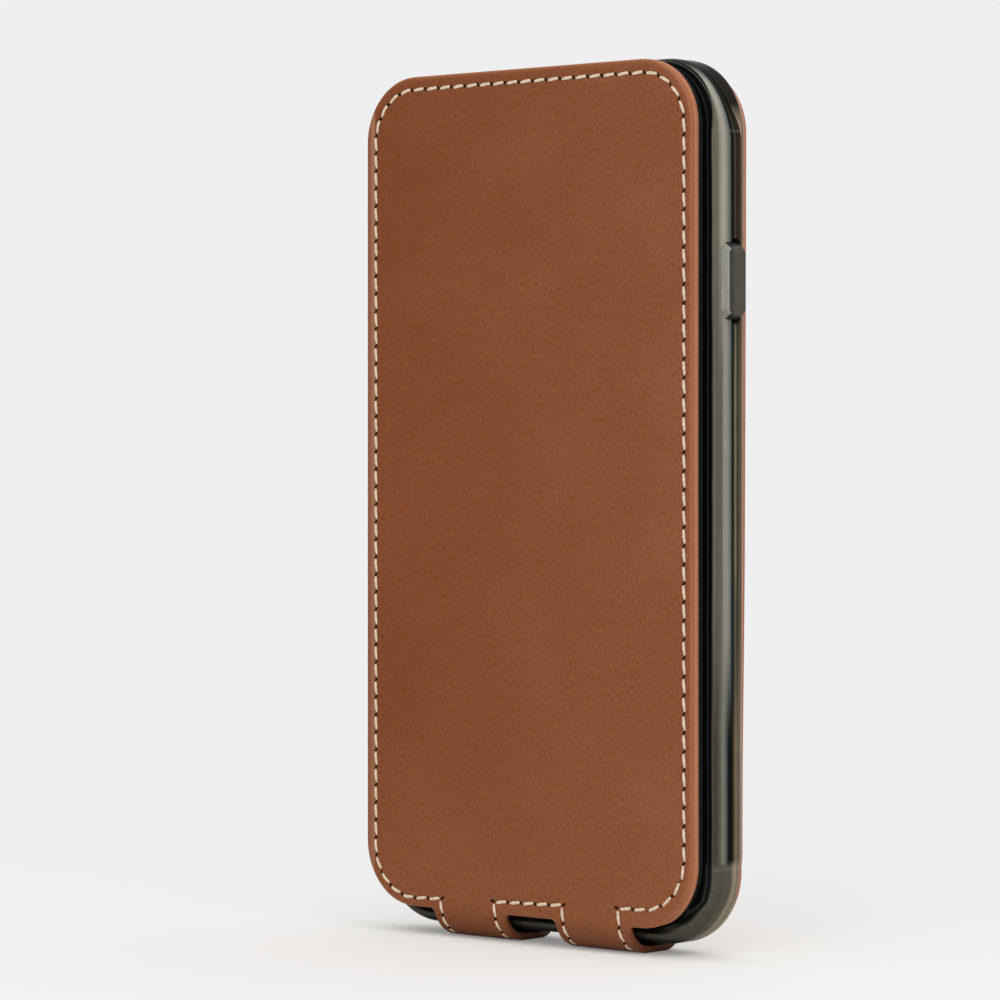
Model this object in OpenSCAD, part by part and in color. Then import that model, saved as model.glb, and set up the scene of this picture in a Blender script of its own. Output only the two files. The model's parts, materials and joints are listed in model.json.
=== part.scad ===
// Upright flap case for a phone.
// A clear moulded shell holds the phone. A leather back panel is stuck to it, and two leather
// straps run from the back panel under the shell to a stiffened front flap.
// X is the width, Z the height, and the flap faces -Y. Z = 0 is the underside of the straps.

/* [Phone bay] */
// Width of the phone that the shell takes
phone_w = 75.7; // [70:0.1:80]
// Height of the phone
phone_h = 150.9; // [140:0.1:165]
// Thickness of the phone
phone_t = 8.3; // [7.4:0.1:9.5]
// Corner radius of the phone seen from the front
phone_r = 11.5; // [9.5:0.1:13]
// Radius of the phone's rounded long edges
phone_edge_r = 3.0; // [2:0.1:3.5]
// Clearance between the phone and the bay, each side
bay_clear = 0.1; // [0.05:0.01:0.2]

/* [Shell] */
// Thickness of the shell's side wall
wall = 1.4; // [1.1:0.1:2]
// Thickness of the shell's back wall
shell_back = 1.0; // [0.8:0.1:1.6]
// Height that the front lip stands over the phone's face
lip_h = 0.4; // [0.3:0.1:0.8]
// Width of the lip that laps over the phone's face
lip_in = 1.6; // [1:0.1:2.2]
// Radius of the shell's front outer edge
front_edge_r = 3.6; // [2.5:0.1:4]
// Radius of the shell's rear outer edge
rear_edge_r = 2.0; // [1:0.1:2.4]

/* [Camera window] */
// Width of the camera window
cam_w = 14; // [10:0.5:20]
// Height of the camera window
cam_h = 28; // [22:0.5:34]
// Distance from the shell's side to the middle of the camera window
cam_from_side = 14; // [12:0.5:18]
// Distance from the shell's top to the middle of the camera window
cam_from_top = 22; // [19:0.5:28]
// Wall of the raised rim around the camera window
cam_rim = 1.2; // [0.8:0.1:2]
// Clearance between the rim and the back panel
cam_clear = 0.15; // [0.1:0.05:0.3]

/* [Openings in the shell's edge] */
// Width of the charging port cut-out
port_w = 11; // [9:0.5:13]
// Depth of the charging port cut-out, front to back
port_d = 4.8; // [4.4:0.1:5.4]
// Width of each speaker cut-out
speaker_w = 13; // [8:0.5:15]
// Depth of each speaker cut-out, front to back
speaker_d = 2.6; // [2:0.1:4]
// Distance from the middle to the middle of a speaker cut-out
speaker_x = 16.5; // [15:0.5:19]
// Height of the mute switch cut-out
mute_h = 10; // [8:0.5:12]
// Depth of the mute switch cut-out, front to back
mute_d = 4.8; // [4.4:0.1:5.4]
// Distance from the shell's top to the middle of the mute switch cut-out
mute_from_top = 24.5; // [22:0.5:26]

/* [Buttons] */
// Width of a button cover's foot, front to back
button_d = 5.6; // [4.6:0.1:6]
// Distance of the buttons' middle behind the phone's middle
button_back = 0.75; // [0:0.05:1]
// Length of the side button's cover
side_button_l = 13.2; // [10:0.1:18]
// Distance from the shell's top to the middle of the side button
side_button_from_top = 38.9; // [34:0.1:44]
// Length of each volume button's cover
volume_button_l = 9.5; // [8:0.1:10]
// Distance from the shell's top to the middle of the upper volume button
volume_up_from_top = 38.5; // [37:0.1:40]
// Distance between the middles of the volume buttons
volume_pitch = 13; // [12.5:0.1:16]
// Height that a button cover stands out of the shell's side
button_rise = 1.5; // [0.8:0.1:2]
// Run of the slope around a button cover's face
button_slope = 0.8; // [0.3:0.1:1]
// Cut across each corner of a button cover
button_corner = 1.7; // [1:0.1:2]
// Running gap along a button cover's sides
button_gap = 0.15; // [0.1:0.05:0.3]
// Open slot past each end of a button cover
button_end_gap = 0.8; // [0.4:0.1:1.2]
// Travel of a button cover
button_travel = 0.4; // [0.3:0.05:0.5]
// Distance between a pressed cover's inner face and the phone
button_clear = 0.1; // [0.05:0.05:0.2]

/* [Leather panels] */
// Distance of the panels' side edges in from the shell's sides
panel_side_in = 1.25; // [0.5:0.05:3]
// Distance of the flap's upper edge below the shell's top
panel_top_in = 0.45; // [0.2:0.05:3]
// Distance of the back panel's upper edge below the flap's
back_lower = 0.9; // [0:0.05:1.5]
// Distance of the panels' lower edge above the shell's underside
panel_low_in = 3.15; // [2.4:0.05:3.4]
// Corner radius of the panels
panel_r = 11.6; // [9:0.1:14]
// Thickness of the flap's face leather
flap_leather_t = 1.1; // [0.9:0.1:1.5]
// Thickness of the stiffening board in the flap
flap_board_t = 0.7; // [0.6:0.1:1.5]
// Thickness of the back panel's leather
back_leather_t = 0.9; // [0.8:0.1:1.2]
// Thickness of the board in the back panel
back_board_t = 0.5; // [0.5:0.1:0.8]
// Width of the leather turned over a board's edge
turned_edge = 1.0; // [0.8:0.1:1.4]
// Radius of the leather's outer edges
leather_edge_r = 0.7; // [0.4:0.1:0.8]
// Radius of the edges where a layer is stuck to the next
seat_edge_r = 0.2; // [0.1:0.05:0.3]

/* [Straps] */
// Width of each strap
strap_w = 17; // [14:0.1:20]
// Width of the gap between the straps
strap_apart = 11.7; // [9:0.1:14]
// Shift of the straps' middle from the panels' middle
strap_shift = 1.05; // [-1.5:0.05:1.5]
// Thickness of a strap
strap_t = 1.3; // [1:0.1:1.4]
// Outer radius of the strap's bend under the flap
front_bend_r = 6.2; // [5.6:0.1:6.6]
// Outer radius of the strap's bend at the back panel
rear_bend_r = 3.8; // [3.4:0.1:4.2]
// Clearance between the straps and the shell's underside
strap_clear = 0.45; // [0.4:0.05:0.8]
// Clearance between a strap and each stub that it folds against
link_gap = 0.3; // [0.2:0.05:0.4]

/* [Seams] */
// Distance of the seam from the panels' edges
seam_in = 1.75; // [1.4:0.05:3]
// Shift of the seam's middle towards the right side
seam_shift = 0.35; // [-0.6:0.05:0.6]
// Distance of the seam from the panels' lower edge
seam_low = 2.2; // [2:0.1:3.4]
// Distance of the seam from the straps' edges
strap_seam_in = 1.8; // [1.4:0.1:2.4]
// Width of the thread
thread_w = 0.6; // [0.4:0.1:0.8]
// Depth that the thread lies in the leather
thread_d = 0.25; // [0.2:0.05:0.35]

/* [Flap lining and card pocket] */
// Thickness of the padded lining on the flap
lining_t = 1.8; // [1.2:0.1:2.2]
// Distance of the lining's edge from the flap's edge
lining_in = 0.3; // [0.2:0.1:1.5]
// Clearance between the closed flap and the shell
flap_clear = 0.2; // [0.15:0.05:0.4]
// Width of the card that the pocket takes
card_w = 54; // [50:0.1:60]
// Height of the card that the pocket takes
card_h = 85.6; // [80:0.1:95]
// Thickness of the pocket's outer panel
pocket_t = 0.5; // [0.4:0.05:0.6]
// Height of the slot behind the pocket's panel
slot_t = 0.4; // [0.3:0.05:0.5]
// Width of the welt along the pocket's edges
welt_w = 1.8; // [1.2:0.1:2.5]
// Share of the card that the pocket covers
pocket_cover = 0.62; // [0.45:0.01:0.8]
// Height of the pocket's lower edge above the panel's lower edge
pocket_low = 22; // [12:0.5:40]
// Radius of the thumb notch in the pocket's edge
thumb_r = 9; // [6:0.5:12]
// Clearance around the pocket's panel
pocket_clear = 0.1; // [0.05:0.05:0.2]
// Room beside the card in the pocket, both sides together
card_room = 1; // [0.5:0.1:2]
// Height of the recess above a card that stands in the pocket
recess_room = 10; // [4:0.5:14]
// Corner radius of the recess for the pocket
recess_r = 3; // [2:0.5:5]
// Distance of the pocket's seam from its edges
pocket_seam_in = 0.7; // [0.4:0.1:1]
// Width of the pocket's thread
pocket_thread_w = 0.4; // [0.3:0.1:0.6]
// Depth that the pocket's thread lies in its panel
pocket_thread_d = 0.15; // [0.1:0.05:0.2]
// Radius of the lining's outer edge
lining_edge_r = 0.4; // [0.2:0.1:0.6]

/* [Hidden] */
$fn = 64;

// Bay and shell, in the upright frame: x across, y up, z from back to front
bay_w = phone_w + 2 * bay_clear;
bay_h = phone_h + 2 * bay_clear;
bay_t = phone_t + bay_clear;
bay_r = phone_r + bay_clear;
shell_w = bay_w + 2 * wall;
shell_h = bay_h + 2 * wall;
shell_t = shell_back + bay_t + lip_h;
shell_r = bay_r + wall;
shell_z0 = strap_t + strap_clear;
shell_z1 = shell_z0 + shell_h;

// Stack of the layers from back to front
flap_t = flap_leather_t + flap_board_t;
back_t = back_leather_t + back_board_t;
total_t = back_t + shell_t + flap_clear + lining_t + flap_t;
back_d = -total_t / 2;
shell_d = back_d + back_t;
lining_d = shell_d + shell_t + flap_clear;
flap_d = lining_d + lining_t;
front_d = total_t / 2;
phone_mid = shell_d + shell_back + bay_t / 2;

// Panels
panel_w = shell_w - 2 * panel_side_in;
panel_z0 = shell_z0 + panel_low_in;
panel_z1 = shell_z1 - panel_top_in;
board_w = panel_w - 2 * turned_edge;
board_r = panel_r - turned_edge;
board_z0 = front_bend_r + turned_edge;
board_z1 = panel_z1 - turned_edge;
back_z1 = panel_z1 - back_lower;
lining_w = panel_w - 2 * lining_in;
lining_r = panel_r - lining_in;
lining_z0 = panel_z0 + lining_in;
lining_z1 = panel_z1 - lining_in;

// Straps: left and right edges of each
strap_x = [strap_shift - strap_apart / 2 - strap_w, strap_shift + strap_apart / 2];
// Middle of the front bend and of the rear bend, as [y, z] of the part
front_c = [-total_t / 2 + front_bend_r, front_bend_r];
rear_c = [total_t / 2 - rear_bend_r, rear_bend_r];
// Angles of the two fold lines along the bends
fold_front = 225;
fold_rear = 315;

// Card pocket
pocket_w = card_w + card_room + 2 * welt_w;
pocket_h = card_h * pocket_cover;
pocket_z0 = panel_z0 + pocket_low;
recess_w = pocket_w + 2 * pocket_clear;
recess_h = card_h + recess_room;
recess_t = pocket_t + slot_t;

// Camera window, in the upright frame
cam_x = shell_w / 2 - cam_from_side;
cam_z = shell_z1 - cam_from_top;

leather_c = [0.55, 0.32, 0.20];
dark_c = [0.09, 0.09, 0.09];
smoke_c = [0.36, 0.35, 0.31];
thread_c = [0.87, 0.79, 0.67];
board_c = [0.62, 0.58, 0.50];

// Stands a model drawn as x across, y up and z to the front into the part's frame
module upright() {
    rotate([90, 0, 0]) children();
}

// Extrudes a 2D shape drawn in y and z across the width
module across(x0, w) {
    translate([x0, 0, 0]) rotate([90, 0, 90]) linear_extrude(w) children();
}

// Rounded rectangle from height z0 to z1 around x = 0
module plate2d(w, z0, z1, r) {
    h = z1 - z0;
    translate([-w / 2 + r, z0]) square([w - 2 * r, h]);
    translate([-w / 2, z0 + r]) square([w, h - 2 * r]);
    for (x = [-w / 2 + r, w / 2 - r], y = [z0 + r, z1 - r])
        translate([x, y]) circle(r);
}

// Slot with round ends
module slot2d(w, h) {
    r = min(w, h) / 2;
    if (w > h) {
        square([w - 2 * r, h], center = true);
        for (s = [-1, 1]) translate([s * (w / 2 - r), 0]) circle(r);
    } else {
        square([w, h - 2 * r], center = true);
        for (s = [-1, 1]) translate([0, s * (h / 2 - r)]) circle(r);
    }
}

// Edge section of a slab: reach r, thickness t, with rounded rear and front outer edges
module edge2d(r, t, rear, front) {
    square([r - max(rear, front), t]);
    translate([0, rear]) square([r, t - rear - front]);
    square([r - rear, t - front]);
    translate([0, rear]) square([r - front, t - rear]);
    translate([r - rear, rear]) circle(rear);
    translate([r - front, t - front]) circle(front);
}

// Slab with rounded corners of radius r and the edge section all round, from height z0 to z1
module soft_slab(w, z0, z1, r, t, rear, front) {
    h = z1 - z0;
    translate([0, z0 + h / 2, 0]) {
        for (a = [0, 1], b = [0, 1])
            mirror([a, 0, 0]) mirror([0, b, 0]) translate([w / 2 - r, h / 2 - r, 0])
                rotate_extrude(angle = 90) edge2d(r, t, rear, front);
        for (a = [0, 1])
            mirror([a, 0, 0]) translate([w / 2 - r, h / 2 - r, 0])
                rotate([90, 0, 0]) linear_extrude(h - 2 * r) edge2d(r, t, rear, front);
        for (b = [0, 1])
            mirror([0, b, 0]) translate([-(w / 2 - r), h / 2 - r, 0])
                rotate([90, 0, 90]) linear_extrude(w - 2 * r) edge2d(r, t, rear, front);
        translate([-(w / 2 - r), -(h / 2 - r), 0]) cube([w - 2 * r, h - 2 * r, t]);
    }
}

// Sector of a bend's section: middle c, outer radius r, thickness t, from angle a0 to a1
module bend2d(c, r, t, a0, a1) {
    reach = 2 * r;
    translate(c) intersection() {
        difference() {
            circle(r);
            circle(r - t);
        }
        polygon([[0, 0], [reach * cos(a0), reach * sin(a0)], [reach * cos(a1), reach * sin(a1)]]);
    }
}

// Gap across a bend at a fold line
module fold_gap2d(c, r, a) {
    translate(c) rotate(a) translate([r - 2 * strap_t, -link_gap / 2])
        square([3 * strap_t, link_gap]);
}

// Section of the flap's stub; top is the depth below the outer face and t the thickness
module flap_stub2d(top, t) {
    difference() {
        bend2d(front_c, front_bend_r - top, t, 180, fold_front);
        fold_gap2d(front_c, front_bend_r, fold_front);
    }
}

// Section of the strap between the two fold lines
module strap2d(top, t) {
    difference() {
        union() {
            bend2d(front_c, front_bend_r - top, t, fold_front, 270);
            translate([front_c[0], top]) square([rear_c[0] - front_c[0], t]);
            bend2d(rear_c, rear_bend_r - top, t, 270, fold_rear);
        }
        fold_gap2d(front_c, front_bend_r, fold_front);
        fold_gap2d(rear_c, rear_bend_r, fold_rear);
    }
}

// Section of the back panel's stub, up to the height z1
module back_stub2d(top, t, z1) {
    difference() {
        union() {
            bend2d(rear_c, rear_bend_r - top, t, fold_rear, 360);
            translate([total_t / 2 - top - t, rear_c[1]]) square([t, z1 - rear_c[1]]);
        }
        fold_gap2d(rear_c, rear_bend_r, fold_rear);
    }
}

// Runs a section across both seams of the strap that starts at x
module strap_seams(x) {
    across(x + strap_seam_in, thread_w) children();
    across(x + strap_w - strap_seam_in - thread_w, thread_w) children();
}

// A strap with its two seam grooves
module strap(x) {
    difference() {
        across(x, strap_w) strap2d(0, strap_t);
        strap_seams(x) strap2d(-1, thread_d + 1);
    }
}

// Seam line on the face of a panel with its upper edge at z1, seen from the front
module seam2d(z1) {
    difference() {
        translate([seam_shift, 0])
            plate2d(panel_w - 2 * seam_in, panel_z0 + seam_low, z1 - seam_in, panel_r - seam_in);
        translate([seam_shift, 0])
            plate2d(panel_w - 2 * (seam_in + thread_w), panel_z0 + seam_low + thread_w,
                z1 - seam_in - thread_w, panel_r - seam_in - thread_w);
        for (x = strap_x)
            translate([x + strap_seam_in + thread_w, panel_z0])
                square([strap_w - 2 * (strap_seam_in + thread_w), seam_low + 2 * thread_w]);
    }
    for (x = strap_x, o = [strap_seam_in, strap_w - strap_seam_in - thread_w])
        translate([x + o, front_bend_r])
            square([thread_w, panel_z0 + seam_low + thread_w - front_bend_r]);
}

// Clears a panel's lower edge where the straps leave it
module strap_notches(z, d, t) {
    for (x = strap_x)
        translate([x, panel_z0 - 1, d]) cube([strap_w, z - panel_z0 + 1, t]);
}

// Outline of a button cover: a rectangle with its corners cut off
module cover2d(w, l) {
    x = w / 2;
    y = l / 2;
    c = button_corner;
    polygon([[x - c, -y], [x, c - y], [x, y - c], [x - c, y],
        [c - x, y], [-x, y - c], [-x, c - y], [c - x, -y]]);
}

// Section of a button cover across its slopes: foot w, from the inner face to the outer
module slope2d(w, inner) {
    x = w / 2;
    polygon([[inner, -x], [0, -x], [button_rise, button_slope - x],
        [button_rise, x - button_slope], [0, x], [inner, x]]);
}

// Window for a button cover, along x
module button_window(l) {
    rotate([0, 90, 0]) linear_extrude(6 * wall, center = true)
        cover2d(button_d + 2 * button_gap, l + 2 * button_end_gap);
}

// Button cover standing along y with its face towards +x, x = 0 on the shell's side
module button_cover(l) {
    inner = -(wall - button_travel - button_clear);
    intersection() {
        rotate([0, 90, 0]) translate([0, 0, inner]) linear_extrude(button_rise - inner)
            cover2d(button_d, l);
        rotate([90, 0, 0]) linear_extrude(l + 2, center = true) slope2d(button_d, inner);
        linear_extrude(button_d + 2, center = true) slope2d(l, inner);
    }
}

// Places a button cover or its window on a side of the shell; side is 1 or -1
module at_side(side, from_top) {
    upright() mirror([side > 0 ? 0 : 1, 0, 0])
        translate([shell_w / 2, shell_z1 - from_top, phone_mid - button_back]) children();
}

module tpu_shell() color(smoke_c) {
    difference() {
        upright() {
            translate([0, 0, shell_d])
                soft_slab(shell_w, shell_z0, shell_z1, shell_r, shell_t, rear_edge_r, front_edge_r);
            translate([cam_x, cam_z, back_d]) linear_extrude(back_t + rear_edge_r)
                slot2d(cam_w + 2 * cam_rim, cam_h + 2 * cam_rim);
        }
        upright() {
            translate([0, 0, shell_d + shell_back])
                soft_slab(bay_w, shell_z0 + wall, shell_z1 - wall, bay_r, bay_t,
                    phone_edge_r, phone_edge_r);
            translate([0, 0, shell_d + shell_back + bay_t / 2]) linear_extrude(shell_t)
                plate2d(bay_w - 2 * lip_in, shell_z0 + wall + lip_in, shell_z1 - wall - lip_in,
                    bay_r - lip_in);
            translate([cam_x, cam_z, back_d - 1]) linear_extrude(back_t + shell_back + 2)
                slot2d(cam_w, cam_h);
            translate([0, shell_z0 + wall / 2, phone_mid]) rotate([90, 0, 0])
                linear_extrude(4 * wall, center = true) {
                    slot2d(port_w, port_d);
                    for (s = [-1, 1]) translate([s * speaker_x, 0]) slot2d(speaker_w, speaker_d);
                }
            translate([-shell_w / 2 + wall / 2, shell_z1 - mute_from_top, phone_mid])
                rotate([0, 90, 0]) linear_extrude(4 * wall, center = true)
                    slot2d(mute_d, mute_h);
        }
        at_side(1, side_button_from_top) button_window(side_button_l);
        at_side(-1, volume_up_from_top) button_window(volume_button_l);
        at_side(-1, volume_up_from_top + volume_pitch) button_window(volume_button_l);
    }
}

module side_button() color(smoke_c) at_side(1, side_button_from_top) button_cover(side_button_l);

module volume_up_button() color(smoke_c)
    at_side(-1, volume_up_from_top) button_cover(volume_button_l);

module volume_down_button() color(smoke_c)
    at_side(-1, volume_up_from_top + volume_pitch) button_cover(volume_button_l);

module camera_hole(grow, t) {
    translate([cam_x, cam_z, back_d - 1]) linear_extrude(t + 2)
        slot2d(cam_w + 2 * (cam_rim + grow), cam_h + 2 * (cam_rim + grow));
}

module back_leather() color(leather_c) {
    difference() {
        union() {
            upright() difference() {
                translate([0, 0, back_d])
                    soft_slab(panel_w, panel_z0, back_z1, panel_r, back_t, leather_edge_r, seat_edge_r);
                translate([0, 0, back_d + back_leather_t]) linear_extrude(back_t)
                    plate2d(board_w, board_z0, back_z1 - turned_edge, board_r);
                camera_hole(cam_clear, back_t);
                strap_notches(front_bend_r, back_d - 1, back_t + 2);
            }
            for (x = strap_x) across(x, strap_w) back_stub2d(0, strap_t, front_bend_r);
        }
        upright() translate([0, 0, back_d - 1]) linear_extrude(1 + thread_d) seam2d(back_z1);
        for (x = strap_x) strap_seams(x) back_stub2d(-1, thread_d + 1, front_bend_r);
    }
}

module back_board() color(board_c) upright() difference() {
    translate([0, 0, back_d + back_leather_t]) linear_extrude(back_board_t)
        plate2d(board_w, board_z0, back_z1 - turned_edge, board_r);
    camera_hole(cam_clear, back_t);
}

module back_thread() color(thread_c) {
    upright() translate([0, 0, back_d]) linear_extrude(thread_d) seam2d(back_z1);
    for (x = strap_x) strap_seams(x) back_stub2d(0, thread_d, front_bend_r);
}

module strap_left() color(leather_c) strap(strap_x[0]);

module strap_right() color(leather_c) strap(strap_x[1]);

module strap_left_thread() color(thread_c) strap_seams(strap_x[0]) strap2d(0, thread_d);

module strap_right_thread() color(thread_c) strap_seams(strap_x[1]) strap2d(0, thread_d);

module flap_leather() color(leather_c) {
    difference() {
        union() {
            upright() difference() {
                translate([0, 0, flap_d])
                    soft_slab(panel_w, panel_z0, panel_z1, panel_r, flap_t, seat_edge_r, leather_edge_r);
                translate([0, 0, flap_d - 1]) linear_extrude(flap_board_t + 1)
                    plate2d(board_w, board_z0, board_z1, board_r);
                strap_notches(front_bend_r, flap_d - 1, flap_t + 2);
            }
            for (x = strap_x) across(x, strap_w) flap_stub2d(0, strap_t);
        }
        upright() translate([0, 0, front_d - thread_d]) linear_extrude(1 + thread_d) seam2d(panel_z1);
        for (x = strap_x) strap_seams(x) flap_stub2d(-1, thread_d + 1);
    }
}

module flap_board() color(board_c) upright()
    translate([0, 0, flap_d]) linear_extrude(flap_board_t)
        plate2d(board_w, board_z0, board_z1, board_r);

module flap_thread() color(thread_c) {
    upright() translate([0, 0, front_d - thread_d]) linear_extrude(thread_d) seam2d(panel_z1);
    for (x = strap_x) strap_seams(x) flap_stub2d(0, thread_d);
}

module flap_lining() color(dark_c) upright() difference() {
    translate([0, 0, lining_d])
        soft_slab(lining_w, lining_z0, lining_z1, lining_r, lining_t, lining_edge_r, seat_edge_r);
    translate([0, 0, lining_d - 1]) linear_extrude(recess_t + 1)
        plate2d(recess_w, pocket_z0 - pocket_clear, pocket_z0 + recess_h, recess_r);
}

// Pocket panel's outline from the front
module pocket2d(h) {
    intersection() {
        plate2d(pocket_w, pocket_z0, pocket_z0 + 2 * h, recess_r - pocket_clear);
        translate([-pocket_w / 2, pocket_z0]) square([pocket_w, h]);
    }
}

module pocket_welt() color(dark_c) upright()
    translate([0, 0, lining_d + pocket_t]) linear_extrude(slot_t) difference() {
        pocket2d(pocket_h);
        translate([-pocket_w / 2 + welt_w, pocket_z0 + welt_w])
            square([pocket_w - 2 * welt_w, pocket_h]);
    }

// Seam line along the pocket's sides and lower edge
module pocket_seam2d() {
    at = pocket_seam_in;
    top = pocket_z0 + pocket_h - pocket_seam_in;
    difference() {
        plate2d(pocket_w - 2 * at, pocket_z0 + at, pocket_z0 + 2 * pocket_h, recess_r - at);
        plate2d(pocket_w - 2 * (at + pocket_thread_w), pocket_z0 + at + pocket_thread_w,
            pocket_z0 + 2 * pocket_h, recess_r - at - pocket_thread_w);
        translate([-pocket_w / 2, top]) square([pocket_w, 2 * pocket_h]);
    }
}

module card_pocket() color(dark_c) upright() translate([0, 0, lining_d]) difference() {
    linear_extrude(pocket_t) difference() {
        pocket2d(pocket_h);
        translate([0, pocket_z0 + pocket_h]) circle(thumb_r);
    }
    translate([0, 0, -1]) linear_extrude(1 + pocket_thread_d) pocket_seam2d();
}

module pocket_thread() color(dark_c) upright()
    translate([0, 0, lining_d]) linear_extrude(pocket_thread_d) pocket_seam2d();

tpu_shell();
side_button();
volume_up_button();
volume_down_button();
back_leather();
back_board();
back_thread();
strap_left();
strap_right();
strap_left_thread();
strap_right_thread();
flap_leather();
flap_board();
flap_thread();
flap_lining();
pocket_welt();
card_pocket();
pocket_thread();
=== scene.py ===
import json
from math import acos, ceil, cos, exp, pi, radians, sin, sqrt, tan

import bmesh
import bpy
import numpy as np
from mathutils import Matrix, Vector, noise
from mathutils.geometry import delaunay_2d_cdt
from mathutils.kdtree import KDTree


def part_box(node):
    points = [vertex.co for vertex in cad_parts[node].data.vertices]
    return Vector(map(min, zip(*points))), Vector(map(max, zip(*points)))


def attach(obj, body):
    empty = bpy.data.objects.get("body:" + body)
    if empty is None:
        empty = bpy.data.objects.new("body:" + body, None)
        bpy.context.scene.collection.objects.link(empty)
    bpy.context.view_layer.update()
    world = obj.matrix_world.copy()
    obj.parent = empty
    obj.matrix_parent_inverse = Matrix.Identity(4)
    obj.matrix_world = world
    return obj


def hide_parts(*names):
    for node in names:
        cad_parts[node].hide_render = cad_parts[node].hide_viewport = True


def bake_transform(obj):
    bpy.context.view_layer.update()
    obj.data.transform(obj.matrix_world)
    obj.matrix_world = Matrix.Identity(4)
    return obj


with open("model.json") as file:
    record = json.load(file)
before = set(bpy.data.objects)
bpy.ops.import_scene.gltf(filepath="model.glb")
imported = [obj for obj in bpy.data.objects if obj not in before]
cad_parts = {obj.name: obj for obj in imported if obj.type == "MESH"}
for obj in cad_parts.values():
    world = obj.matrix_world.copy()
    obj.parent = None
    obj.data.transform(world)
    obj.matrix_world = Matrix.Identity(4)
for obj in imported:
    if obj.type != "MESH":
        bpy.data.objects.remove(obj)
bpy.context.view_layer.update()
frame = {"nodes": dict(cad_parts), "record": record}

MM = 0.001


def box_mm(node):
    """Lowest and highest corner of a CAD node, in millimetres."""
    low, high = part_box(node)
    return [c / MM for c in low], [c / MM for c in high]


# Sizes read from the frame, in millimetres
flap_lo, flap_hi = box_mm("flap_leather")
_, back_hi = box_mm("back_leather")
lining_lo, lining_hi = box_mm("flap_lining")
board_lo, board_hi = box_mm("flap_board")
back_board_lo, back_board_hi = box_mm("back_board")
pocket_lo, pocket_hi = box_mm("card_pocket")
shell_lo, shell_hi = box_mm("tpu_shell")
left_lo, left_hi = box_mm("strap_left")
right_lo, right_hi = box_mm("strap_right")

# Sizes of the CAD model that its boxes don't give, in millimetres
FRONT_R = 6.2
REAR_R = 3.8
PANEL_R = 11.6
STRAP_T = 1.3
LINING_IN = 0.3
TURNED_EDGE = 1
SHELL_R = 13
WALL = 1.4
SHELL_BACK = 1
LIP_IN = 1.6
BAY_T = 8.4
BAY_EDGE_R = 3
FRONT_EDGE_R = 3.6
REAR_EDGE_R = 2
CAM_W = 14
CAM_H = 28
CAM_RIM = 1.2
CAM_CLEAR = 0.15
PORT = (11, 4.8)
SPEAKER = (13, 2.6)
SPEAKER_X = 16.5
MUTE = (4.8, 10)
MUTE_DOWN = 24.5
BUTTON_GAP = 0.15
BUTTON_CORNER = 1.5
BUTTON_BACK = 0.75
BUTTON_RISE = 1.5
RECESS_T = 0.9
RECESS_R = 3
RECESS_H = 95.6
POCKET_CLEAR = 0.1
THUMB_R = 9
SEAM_LEFT = 2.4
SEAM_RIGHT = 1.7
SEAM_TOP = 2.4
SEAM_LOW = 2.55
SEAM_SLANT = 0.031
STRAP_SEAM_IN = 2.1

# Where the photo differs a little from the CAD, in millimetres: the shell's top corners, the button covers,
# and the back panel, which sits askew (its top edge aside and back, its foot the other way, rounder there)
SHELL_TOP_R = 12.2
BUTTON_ASIDE = 0.3
ASKEW_X = 0.34
ASKEW_Y = 0.2
ASKEW_FOOT = 0.34
FOOT_ROUND = 1.6

HALF_W = flap_hi[0]
FRONT_Y = flap_lo[1]
BACK_Y = back_hi[1]
FLAP_T = board_hi[1] - FRONT_Y
FLAP_LEATHER_T = board_lo[1] - FRONT_Y
BACK_T = BACK_Y - back_board_lo[1]
BACK_LEATHER_T = BACK_Y - back_board_hi[1]
PANEL_LOW = lining_lo[2] - LINING_IN
BACK_TOP = back_hi[2]
WALL_X = shell_hi[0]
SHELL_LOW = shell_lo[2]
SHELL_TOP = shell_hi[2]
SHELL_FRONT = shell_lo[1]
SHELL_REAR = back_board_lo[1]
SHELL_T = SHELL_REAR - SHELL_FRONT
PHONE_Y = SHELL_REAR - SHELL_BACK - BAY_T / 2
BUTTON_Y = PHONE_Y + BUTTON_BACK + BUTTON_ASIDE
STRAPS = ((left_lo[0], left_hi[0]), (right_lo[0], right_hi[0]))

# The leather is drawn flat as (u, v): u across, v along its length, 0 where the front bend starts
FRONT_ARC = FRONT_R * pi / 2
REAR_ARC = REAR_R * pi / 2
FLAT = BACK_Y - REAR_R - (FRONT_Y + FRONT_R)
REAR_V = -FRONT_ARC - FLAT - REAR_ARC
V_SPLIT = -FRONT_ARC - FLAT / 2
V_LOW = PANEL_LOW - FRONT_R
V_TOP = flap_hi[2] - FRONT_R
V_BACK_LOW = REAR_V - (PANEL_LOW - REAR_R)
V_BACK_TOP = REAR_V - (BACK_TOP - REAR_R)

# Shares of the back panel's height between which its foot's shift comes in and fades out
FOOT_IN = (0, 0.1)
FOOT_OUT = (0.12, 0.45)


def smooth(low, high, x):
    """0 below low, 1 above high, and a soft step between."""
    t = min(max((x - low) / (high - low), 0), 1)
    return t * t * (3 - 2 * t)


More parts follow.
